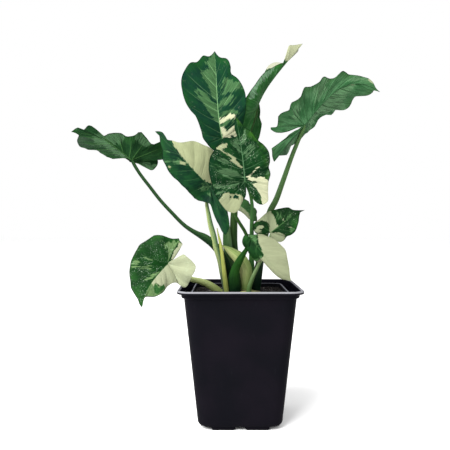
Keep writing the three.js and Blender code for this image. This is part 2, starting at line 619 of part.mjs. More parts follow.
// The middle surface of a blade: points, triangles facing up, its outline and its rib points
function bladeNet(leaf) {
  const net = leaf.small ? SMALL_NET : BIG_NET;
  const last = net.ahead + net.behind;
  const columns = net.across.length - 1;
  const relief = leaf.relief ?? VEIN_RELIEF;
  const points = [];
  const names = new Map();
  const outline = { left: [], right: [] };
  const triangles = [];
  const ribShare = new Map();
  for (const [key, side] of [["right", 1], ["left", -1]]) {
    const half = leaf[key];
    const rows = halfRows(leaf, half, side, net);
    const pointAt = (i, j) => {
      let name = `${key} ${i} ${j}`;
      if (i === last) name = `notch ${j}`;
      if (j === 0) name = `rib ${Math.min(i, net.ahead)}`;
      if (i === 0) name = "rib 0";
      if (!names.has(name)) {
        names.set(name, points.length);
        points.push(rowPoint(rows[i], i === 0 ? 0 : net.across[j], half, i, relief));
      }
      const place = names.get(name);
      if (name.startsWith("rib")) ribShare.set(place, Math.min(i, net.ahead) / net.ahead);
      return place;
    };
    for (let i = 0; i < last; i++) {
      for (let j = 0; j < columns; j++) {
        const corners = [pointAt(i, j), pointAt(i + 1, j), pointAt(i + 1, j + 1), pointAt(i, j + 1)];
        if (side < 0) corners.reverse();
        const [a, b, c, d] = corners;
        for (const face of [[a, b, c], [a, c, d]]) {
          if (new Set(face).size === 3) triangles.push(face);
        }
      }
      if (i > 0) outline[key].push(pointAt(i, columns));
    }
    outline.notch = pointAt(last, columns);
  }
  const tip = names.get("rib 0");
  const loop = [tip, ...outline.left, outline.notch, ...outline.right.reverse()];
  return { points, triangles, loop, ribShare };
}

function pointNormals(points, triangles) {
  const normals = points.map(() => new THREE.Vector3());
  for (const face of triangles) {
    const [a, b, c] = face.map((k) => points[k]);
    const cross = b.clone().sub(a).cross(c.clone().sub(a));
    face.forEach((k) => normals[k].add(cross));
  }
  return normals.map((n) => n.normalize());
}

// A blade: the net given thickness, the same triangles above and below, with a ridge under the rib
function buildBlade(leaf) {
  const { points, triangles, loop, ribShare } = bladeNet(leaf);
  const normals = pointNormals(points, triangles);
  const count = points.length;
  const above = points.map((p, k) => p.clone().addScaledVector(normals[k], BLADE_HALF_THICK));
  const below = points.map((p, k) => {
    const ridge = RIB_RIDGE * Math.sqrt(ribShare.get(k) ?? 0);
    return p.clone().addScaledVector(normals[k], -BLADE_HALF_THICK - ridge);
  });
  const skin = triangles.flatMap(([a, b, c]) => [[a, b, c], [count + c, count + b, count + a]]);
  loop.forEach((a, k) => {
    const b = loop[(k + 1) % loop.length];
    skin.push([a, count + a, count + b], [a, count + b, b]);
  });
  return toSolid(meshGeometry([...above, ...below].map((p) => p.toArray()), skin));
}

// Assembly
const plant = new THREE.Group();

function addPiece(name, solid, material) {
  const piece = new THREE.Mesh(toGeometry(solid), material);
  piece.name = name;
  plant.add(piece);
}

const corm = buildCorm();
const cormHole = buildCorm(GAP);
let soil = buildSoil().subtract(cormHole);
const clasped = [];

// Adds a stalk or shoot, cut clear of the corm and of the growths that it clasps. Gives back a
// slightly larger copy of it, which cuts the pieces that come next to it.
function addGrowth(name, growth, material) {
  let solid = buildStalk(growth).subtract(cormHole);
  for (const earlier of clasped) solid = solid.subtract(earlier);
  addPiece(name, solid, material);
  const grown = buildStalk(growth, GAP);
  clasped.push(grown);
  soil = soil.subtract(grown);
  return grown;
}

// Each leaf: its stalk up to the start of the rib, and its blade with a seat for the stalk's top
for (const [name, { flat, path }] of Object.entries(STALKS)) {
  const leaf = LEAVES[name];
  const top = [...leaf.rib[0], path.at(-1)[3] * STALK_TOP_TAPER];
  const stalkMaterial = PALE_STALKS.includes(name) ? STALK_PALE : STALK_GREEN;
  const grown = addGrowth(`stalk_${name}`, { flat, path: [...path, top] }, stalkMaterial);
  const bladeMaterial = CREAM_LEAVES.includes(name) ? LEAF_CREAM : LEAF_GREEN;
  addPiece(`blade_${name}`, buildBlade(leaf).subtract(grown), bladeMaterial);
}
addGrowth("sheath_leaf", SHEATH, STALK_PALE);
addGrowth("young_spear", SPEAR, STALK_PALE);
addPiece("pot", buildPot(), POT_BLACK);
addPiece("grow_pot", buildGrowPot(), POT_BLACK);
addPiece("soil", soil, SOIL_BROWN);
addPiece("corm", corm, CORM_BROWN);

export default plant;
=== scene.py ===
# Potted batik alocasia: marbled elephant-ear leaves on sheathed stalks in a square nursery pot.
# The shape tables are in millimetres, in the frame's axes, and become metres as meshes are made.
import math
import bpy
import numpy as np
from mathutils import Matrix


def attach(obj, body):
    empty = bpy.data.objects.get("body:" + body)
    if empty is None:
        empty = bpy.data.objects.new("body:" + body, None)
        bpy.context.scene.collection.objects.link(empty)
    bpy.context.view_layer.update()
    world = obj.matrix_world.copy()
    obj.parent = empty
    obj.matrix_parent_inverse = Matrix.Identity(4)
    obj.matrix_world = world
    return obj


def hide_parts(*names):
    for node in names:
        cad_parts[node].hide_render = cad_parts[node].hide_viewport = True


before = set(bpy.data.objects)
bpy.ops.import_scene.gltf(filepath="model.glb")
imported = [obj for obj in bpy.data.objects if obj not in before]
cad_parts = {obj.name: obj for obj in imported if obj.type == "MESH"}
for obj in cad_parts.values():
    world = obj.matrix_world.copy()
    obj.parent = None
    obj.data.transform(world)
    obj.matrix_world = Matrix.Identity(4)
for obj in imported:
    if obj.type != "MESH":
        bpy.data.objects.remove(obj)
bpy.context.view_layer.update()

MM = 0.001
SEED = 20

# Camera, at the height of the leaves, in millimetres
CAMERA_PLACE = (-25, -940, 335)
SENSOR = 36
PICTURE = 450
FOCAL_PIXELS = 536
CLIP_START = 0.05

# Lights: place, size and power. The floor is a wide white square.
LIGHTS = {
    "key": ((-1.2, -1.3, 1.9), 2.0, 164),
    "fill": ((1.8, -1.2, 1.0), 1.4, 5),
}
FLOOR_HALF = 12000

# Pot, as in the part's source
POT_HEIGHT = 230
POT_RIM_HALF = 102.5
POT_TOP_HALF = 91.6
POT_FOOT_HALF = 70.3
POT_WALL = 1.8
POT_COLLAR_OUT = 4
POT_COLLAR_Z = 216.5
POT_LEDGE_Z = 220
POT_LIP = 2.2
POT_FLANGE_Z = 224.5
POT_FLOOR_Z = 5
POT_FLOOR_THICK = 2.4
POT_EDGE_TOP_Z = 11
RIM_CORNER = 25
TOP_CORNER = 22
FOOT_CORNER = 20
FOOT_INNER = 8
FOOT_OUTER = 47.8
FOOT_DEPTH = 15
FOOT_CHAMFER = 3
FOOT_INSET = 5
FOOT_TOP_Z = POT_FLOOR_Z + 6
CENTRE_PAD_RADIUS = 14
DRAIN_RADIUS = 5.5
DRAIN_RING = 42
DRAIN_COUNT = 8
BAR_SIDES = 40
CORNER_STEPS = 12
CORNER_SHARE = 0.538
BEND_STEPS = 4
CREASE_ANGLE = math.radians(28)

# Grow pot: the thin square pot that the plant grew in, standing inside the pot
GAP = 0.32
LINER_BASE_Z = POT_FLOOR_Z + POT_FLOOR_THICK + GAP
LINER_TOP = 224.5
LINER_LIP_Z = 219.5
LINER_RIM_HALF = 81
LINER_TOP_HALF = 79.2
LINER_FOOT_HALF = 57
LINER_WALL = 1.2
LINER_FLOOR_THICK = 1.6
LINER_CORNER = 16

# Soil, with loose crumbs on it, some of them pale grains
SOIL_TOP = 217
SOIL_EDGE = 213
SOIL_BUMP = 1.6
SOIL_ROUGH = 0.8
SOIL_RINGS = 46
SOIL_WAVES = ((0.31, 0.17, 0.4), (0.47, -0.39, 1.9), (-0.21, 0.53, 3.1), (0.83, 0.61, 0.7),
              (1.13, -0.87, 2.2), (-0.59, 1.31, 5.0))
GRAIN_COUNT = 1500
PALE_EVERY = 25
CRUMB_SIZES = (0.8, 2.6)
PALE_SIZES = (0.9, 2.0)
GRAIN_LIFT = 0.25
BARE_RING = 0.85
BARE_CORNER = 8
GRAIN_CORNERS = np.array([(0, 0, 1), (1, 0, 0.3), (0.3, 0.95, 0.2), (-0.8, 0.6, 0.3),
                          (-0.8, -0.6, 0.2), (0.3, -0.95, 0.3), (0, 0, -0.9)])

# Corm, and the share of its width at heights of its profile
CORM_CENTRE = (2, 3)
CORM_HALF = (43, 31)
CORM_TOP = 223.5
CORM_SHOULDER = 211.5
CORM_FOOT = 169.5
CORM_PROFILE = [(0.001, CORM_FOOT), (0.34, CORM_FOOT), (0.62, CORM_FOOT + 12),
                (0.9, CORM_FOOT + 27), (1, CORM_SHOULDER), (0.9, CORM_SHOULDER + 5),
                (0.62, CORM_TOP - 3), (0.001, CORM_TOP)]
SCAR_DEPTH = 0.018
SCAR_WAVE = 1.9
CORM_SIDES = 72
CORM_STEPS = 14

# Leaf net: rows run along the veins, every odd row is a main vein. Columns run from rib to margin.
NOTCH = 5
VEIN_SLANT = 1.3
RIB_EASE = 0.75
VEIN_BOW = 0.18
VEIN_RELIEF = 0.9
RIB_STEPS = 400
MARGIN_STEPS = 24
BIG_ROWS = (14, 7)
SMALL_ROWS = (9, 5)
VEIN_STEPS = (0, 0.05, 0.13, 0.26, 0.45, 0.7, 1)
ACROSS = (0, 0.012, 0.03, 0.055, 0.09, 0.13, 0.18, 0.24, 0.3, 0.37, 0.44, 0.51, 0.58, 0.65, 0.72,
          0.78, 0.84, 0.89, 0.93, 0.965, 1)
SMALL_ACROSS = (0, 0.03, 0.07, 0.12, 0.2, 0.3, 0.41, 0.52, 0.63, 0.73, 0.82, 0.9, 0.96, 1)

# Leaf skin: half of its thickness, which falls to EDGE_THICK over the last EDGE_REACH before the
# margin. Rib and veins are ridges under it, and a vein's ridge fades towards margin and rib.
HALF_THICK = 0.36
EDGE_THICK = 0.16
EDGE_REACH = 4
RIB_RIDGE = 1.5
RIB_HALF = 1.9
VEIN_RIDGE = 0.4
VEIN_HALF = 0.8
VEIN_END = 14
VEIN_START = 3

# Fields of the leaf net: how far a point lies inside the markings of each tone, at most
# FIELD_REACH. PATTERN_SHIFT keeps the patterns of two leaves apart.
FIELD_TONES = ("sage", "cream", "dark")
FIELD_REACH = 20
PATTERN_SHIFT = 7.3

# Each leaf: the rib as a curve from the stalk to the tip, and for each half its margin as seen
# from the front, (x, z) from the tip round the lobe to the notch. turn is the share of the margin
# ahead of the stalk. lean is how far the half lies back for each millimetre outwards, bulge how
# far it arches between rib and margin, both at the tip, abreast of the stalk and in the lobe.
# wave holds the height, number and start of the margin's waves. slant above 1 makes the veins of a
# half run further towards the tip, and relief is how high the leaf puffs up between its veins.
LEAVES = {
    "top": {
        "rib": [(-30, 30, 492), (-41, 18, 537), (-39, 18, 594), (-44, 50, 656)],
        "left": {
            "margin": [(-53, 644), (-65, 644), (-76, 630), (-88, 626), (-100, 606), (-103, 586),
                (-98, 561), (-88, 541), (-77, 528), (-68, 506), (-63, 488), (-45, 469), (-36, 477)],
            "turn": 0.72, "lean": (-0.1, -0.2, -0.2), "bulge": (1, 4, 3), "wave": (2.5, 5, 0.1),
        },
        "right": {
            "margin": [(-36, 644), (-21, 636), (-15, 622), (-14, 608), (-2, 596), (7, 581),
                (12, 563), (12, 540), (7, 515), (-3, 492), (-16, 478), (-25, 483)],
            "turn": 0.66, "lean": (-0.1, -0.2, 0), "bulge": (1, 4, 3), "wave": (2.5, 5, 0.4),
        },
    },
    "rolled": {
        "rib": [(34, 55, 552), (46, 62, 592), (83, 68, 632), (122, 74, 678)],
        "relief": 0.6,
        "left": {
            "margin": [(114, 672), (114, 665), (110, 660), (98.5, 651), (89, 643), (82, 642),
                (69, 645.5), (57, 637.5), (45, 612), (41, 578), (41, 546), (40, 536), (44, 525),
                (40, 501), (31, 487), (19, 501), (22, 529)],
            "turn": 0.5, "lean": (0.5, 1.2, 0.5), "bulge": (2, 5, 2), "wave": (1, 4, 0.2),
        },
        "right": {
            "margin": [(105, 673), (95, 670), (90, 656), (87.5, 642), (76, 636), (60, 625),
                (44, 612), (28, 590), (15, 568), (4, 545), (2, 521), (8, 501), (17, 494),
                (25, 525)],
            "turn": 0.6, "lean": (-0.5, -1.2, -0.3), "bulge": (-2, -7, -2), "wave": (1, 4, 0),
        },
    },
    "front": {
        "rib": [(8, -50, 408), (5, -58, 442), (0, -54, 479), (-7, -34, 518)],
        "relief": 0.8,
        "left": {
            "margin": [(-9, 504), (-8, 493), (-6, 484), (-15, 480), (-27, 479), (-33, 469),
                (-42, 459), (-50, 444), (-52, 427), (-49, 411), (-46, 399), (-43, 388),
                (-38.5, 380), (-31, 369), (-20, 357.5), (-6, 356), (3, 372), (10, 385)],
            "turn": 0.5, "lean": (-0.1, -0.15, -0.1), "bulge": (1, 4, 3), "wave": (2, 5, 0),
        },
        "right": {
            "margin": [(0, 510), (8, 499), (18, 491), (29, 476), (39, 467), (47, 455), (49, 440),
                (47, 430), (50, 419), (47, 406), (46, 390), (46, 375), (38, 368.5), (31, 369.5),
                (24, 375), (16, 387)],
            "turn": 0.55, "lean": (-0.1, -0.15, -0.1), "bulge": (1, 4, 3), "wave": (2, 5, 0.3),
        },
    },
    "far_left": {
        "rib": [(-184, -25, 446), (-205, -38, 461), (-238, -50, 496), (-279, -55, 489)],
        "relief": 1.3,
        "left": {
            "margin": [(-269, 495), (-260, 492), (-250, 500), (-239, 494), (-228, 484), (-217, 488),
                (-200, 488), (-189, 483), (-175, 486), (-166, 491), (-158, 483), (-150, 474),
                (-136, 480), (-130, 464), (-131, 451), (-145, 448), (-160, 446), (-174, 445)],
            "turn": 0.5, "lean": (-0.3, -0.45, 0.45), "bulge": (1, 4, 3), "wave": (2, 6, 0),
            "slant": 1.6,
        },
        "right": {
            "margin": [(-272, 487), (-269, 484), (-278, 479), (-278, 471), (-265, 467), (-251, 467),
                (-243, 460), (-235, 455), (-212, 452), (-197, 449), (-186, 444), (-176, 441),
                (-167, 437), (-153, 431), (-143, 441), (-144, 450), (-163, 447)],
            "turn": 0.5, "lean": (1.2, 1.6, 0.6), "bulge": (1, 4, 3), "wave": (2, 6, 0.3),
            "slant": 2.2,
        },
    },
    "half_cream": {
        "rib": [(-51, -5, 401), (-75, -24, 424), (-105, -26, 458), (-149, 10, 501)],
        "relief": 0.6,
        "left": {
            "margin": [(-140, 492), (-138, 478), (-133, 464), (-132, 449), (-127, 437), (-118, 423),
                (-106, 411), (-96, 399), (-85, 389), (-73, 379), (-60, 374), (-51, 369), (-44, 353),
                (-36, 337), (-29, 322), (-24, 318), (-18, 332), (-21, 357), (-34, 381)],
            "turn": 0.45, "lean": (-0.4, -0.6, -0.5), "bulge": (1, 4, 3), "wave": (2.5, 6, 0),
        },
        "right": {
            "margin": [(-135, 498), (-128, 487), (-117, 482), (-103, 477), (-89, 480), (-77, 481),
                (-65, 475), (-45, 465), (-36, 450), (-30, 428), (-30, 410), (-37, 396)],
            "turn": 0.68, "lean": (0.1, 0.25, 0.25), "bulge": (1, 4, 3), "wave": (2.5, 4, 0.2),
        },
    },
    "low_left": {
        "rib": [(-123, -20, 268), (-128, -42, 262), (-158, -72, 233), (-157, -86, 203)],
        "relief": 0.4,
        "left": {
            "margin": [(-158, 209), (-155.5, 215.5), (-151, 219), (-139, 218), (-127, 224),
                (-119, 234), (-109, 237.5), (-94, 230), (-87, 237), (-78, 251), (-74, 265),
                (-82, 278), (-93, 286), (-102, 281), (-111, 276)],
            "turn": 0.4, "lean": (-0.1, -0.3, -0.8), "bulge": (1, 4, 3), "wave": (2, 5, 0.3),
        },
        "right": {
            "margin": [(-162, 208.5), (-165, 215), (-170.5, 221.5), (-179, 233), (-181, 242),
                (-184.5, 255), (-185, 274), (-181.5, 285), (-173.5, 299.5), (-161, 309),
                (-149, 317), (-135, 316.5), (-120, 312), (-112, 311.5), (-106.5, 313), (-104, 308),
                (-99, 302), (-101, 298), (-106, 288.5), (-112, 279)],
            "turn": 0.42, "lean": (0, 0.2, 0.3), "bulge": (1, 4, 3), "wave": (2, 5, 0),
        },
    },
    "far_right": {
        "rib": [(120, 35, 517), (146, 25, 551), (199, 20, 623), (251, 15, 572)],
        "relief": 1.4,
        "left": {
            "margin": [(242, 576), (240, 573), (233, 570), (215, 570), (211, 565), (209, 557),
                (198, 551), (182, 550), (176, 541), (163, 540), (147, 533), (145, 522), (136, 511),
                (124, 505), (114, 496), (99, 480), (91, 467), (71, 459), (62, 445), (55, 466),
                (64, 474), (83, 490), (105, 507)],
            "turn": 0.5, "lean": (1, 1.6, -0.5), "bulge": (1, 4, 3), "wave": (2.5, 7, 0.3),
            "slant": 2.2,
        },
        "right": {
            "margin": [(244, 579), (237, 591), (227, 598), (212, 601), (198, 602), (183, 609),
                (172, 598), (162, 595), (150, 598), (140, 588), (127, 580), (116, 578), (109, 564),
                (102, 557), (94, 553), (90, 541), (79, 537), (70, 530), (69, 512), (54, 508),
                (66, 500), (88, 503), (105, 511)],
            "turn": 0.55, "lean": (-0.3, -0.5, -0.3), "bulge": (1, 4, 3), "wave": (2.5, 7, 0),
            "slant": 1.6,
        },
    },
    "small_right": {
        "rib": [(54, -25, 323), (68, -35, 333), (85, -35, 352), (111, -28, 360.5)],
        "relief": 0.4, "notch": 3, "small": True,
        "left": {
            "margin": [(101, 360), (90, 361), (82, 365), (69, 363), (52, 359), (45, 355), (34, 345),
                (25, 338), (24, 328), (29, 320), (40, 318)],
            "turn": 0.45, "lean": (0, 0.2, 0.2), "bulge": (0.5, 2, 2), "wave": (1, 4, 0),
        },
        "right": {
            "margin": [(104, 358), (101, 350), (99, 339), (94, 325), (87, 318.5), (80, 315.5),
                (75, 308.5), (68, 306), (60, 309), (54, 314)],
            "turn": 0.6, "lean": (0, -0.2, -0.1), "bulge": (0.5, 2, 2), "wave": (1, 4, 0.2),
        },
    },
    "drooping": {
        "rib": [(18, -50, 313), (36, -62, 291), (55, -66, 258), (83, -66, 244)],
        "relief": 0.4, "notch": 3, "small": True,
        "left": {
            "margin": [(81, 252), (80, 265), (77, 281), (74, 295), (64, 305), (55, 313), (43, 318),
                (33, 320), (23, 319), (13, 320)],
            "turn": 0.7, "lean": (0, 0.2, 0.2), "bulge": (0.5, 3, 1), "wave": (1.5, 4, 0),
        },
        "right": {
            "margin": [(71, 246), (62, 249.5), (49, 262.5), (39, 276), (30, 273), (22, 278),
                (13, 292), (5, 302), (4, 310), (8, 318)],
            "turn": 0.62, "lean": (0, 0.3, 0.3), "bulge": (0, 10, 9), "wave": (0.5, 4, 0.2),
        },
    },
    "tucked": {
        "rib": [(-4, 5, 372), (8, 0, 365), (20, -4, 354), (31, -6, 341)],
        "relief": 0.4, "notch": 3, "small": True,
        "left": {
            "margin": [(31, 347), (30, 353), (31, 359), (27, 365), (20, 370), (16, 377), (8, 382),
                (-1, 380), (-6, 378)],
            "turn": 0.65, "lean": (0, 0.2, 0.2), "bulge": (0.5, 2, 1), "wave": (1, 4, 0),
        },
        "right": {
            "margin": [(19, 344), (8, 354.5), (1, 359.5), (-6, 361.5), (-9, 367)],
            "turn": 0.6, "lean": (0, -0.2, -0.2), "bulge": (0.5, 2, 1), "wave": (1, 4, 0.2),
        },
    },
}

# Each stalk: points (x, y, z, half width) from the corm up to its blade. flat is how deep the
# section is for its width at the foot, where the stalk opens into a sheath.
STALKS = {
    "rolled": {"flat": 0.8, "path": [(-1, 24, 206, 8), (-2, 25, 240, 6.8), (-4.5, 27, 268, 6.8),
        (-9.2, 28, 299, 7), (-9.4, 29, 330, 6.9), (-7.8, 31, 362, 6.1), (4, 42, 436, 4.2),
        (21, 56, 508, 3.5), (34, 58, 547, 3)]},
    "top": {"flat": 0.9, "path": [(-19, 16, 206, 8), (-16, 15, 240, 7), (-15.5, 15, 262, 6.8),
        (-18.5, 15, 280, 7.6), (-20.4, 16, 299, 8.2), (-22, 18, 325, 6.6), (-24.3, 22, 353, 4.8),
        (-27, 31, 426, 3.8), (-30, 34, 488, 3)]},
    "far_right": {"flat": 0.7, "path": [(26, 8, 206, 9.5), (30.5, 8, 238, 9.4), (35.5, 9, 263, 7.3),
        (40, 10, 289, 6.5), (48, 12, 326, 6), (55, 15, 358, 5.6), (66.3, 18, 380, 5.2),
        (78.5, 23, 412, 4.6), (95.4, 29, 458, 4), (110, 34, 493, 3.6), (119, 37, 514, 3.2)]},
    "tucked": {"flat": 1, "path": [(22, 18, 206, 3.5), (24.5, 17, 240, 3), (24.5, 14, 266, 2.8),
        (20, 11, 291, 2.8), (12, 8, 319.5, 3), (-1, 6, 341.5, 2.9), (-7, 7, 354, 2.4),
        (-6, 7, 365, 2.1)]},
    "far_left": {"flat": 0.7, "path": [(-13, 4, 206, 7), (-15, 2, 240, 6.5), (-25, -2, 271, 7),
        (-43, -6, 299, 7.2), (-60, -9, 313, 6.6), (-75, -11, 321, 4.4), (-94.5, -14, 334, 3.4),
        (-119.5, -18, 359.3, 3.1), (-136.8, -20, 378.4, 3), (-153.3, -22, 399.8, 2.9),
        (-171, -24, 423.3, 2.8), (-182.5, -25, 442.5, 2.6)]},
    "low_left": {"flat": 0.7, "path": [(-27, 5, 208, 9), (-45, -1, 225, 7), (-57, -5, 232.5, 6.2),
        (-69, -9, 237.5, 5.4), (-84, -12, 241.5, 4.6), (-103, -15, 254, 3.6), (-121, -17, 266, 3)]},
    "front": {"flat": 0.8, "path": [(20, 8, 206, 6), (21.5, 6, 257, 5), (21.5, -3, 301, 3.9),
        (21.2, -18, 340, 3.5), (20.8, -32, 369, 3), (17, -42, 388, 2.6), (11, -48, 402, 2.4)]},
    "small_right": {"flat": 0.9, "path": [(13, -14, 206, 4.5), (18.2, -14, 231, 4),
        (22.5, -14, 243, 3.6), (28, -15, 256, 3.2), (35, -16, 270.5, 2.8), (43, -18, 288, 2.4),
        (53, -23, 318, 2)]},
    "half_cream": {"flat": 0.9, "path": [(-21, -10, 206, 5), (-24, -10, 225, 5), (-29, -10, 248, 5),
        (-33.8, -10, 274, 5), (-41.5, -10, 300, 5.2), (-45, -9, 317, 5), (-50, -8, 335, 4.5),
        (-54, -5, 355, 3.7), (-57, -2, 374, 3), (-55, 0, 391, 2.5), (-51, -1, 399, 2.2)]},
    "drooping": {"flat": 0.5, "path": [(-8, -14, 206, 9.5), (-8.3, -15, 223, 11.2),
        (-9.5, -16, 240, 10.3), (-7.2, -18, 258, 7.6), (0.3, -24, 275, 6.2), (5.2, -29, 284, 4.8),
        (10.2, -35, 292.5, 3.6), (18, -45, 310, 2.4)]},
}
SHOOTS = {
    "sheath_leaf": {"flat": 0.35, "path": [(12, -4, 206, 7.5), (12, -4, 239, 9.5),
        (10.5, -4, 258, 11.4), (0.5, -3, 276, 11.4), (-11, -2, 286, 8.5), (-21, -1, 293.5, 4.8),
        (-30, -1, 299, 0.8)]},
    "young_spear": {"flat": 0.8, "path": [(-20, -20, 206, 4), (-22.8, -20, 224, 4.2),
        (-24.8, -20, 241, 4.1), (-26.9, -20, 258, 3.7), (-29.2, -20, 277, 3.2),
        (-31, -19.5, 292, 3.1), (-33.4, -19, 305, 2.5), (-36.2, -19, 317, 1.5),
        (-38.8, -19, 330, 0.6)]},
}
STALK_SIDES = 28
STALK_STEP = 3.5
STALK_LEAST_STEPS = 24
STALK_CURVE_STEPS = 30
STALK_TOP_TAPER = 0.6
WING_END = 0.5
WING_FADE = 0.3
WING_ANGLES = (0.3 * math.pi, 0.7 * math.pi)
WING_SPREAD = 0.5
WING_SWELL = 0.1
GROOVE_DEPTH = 0.16

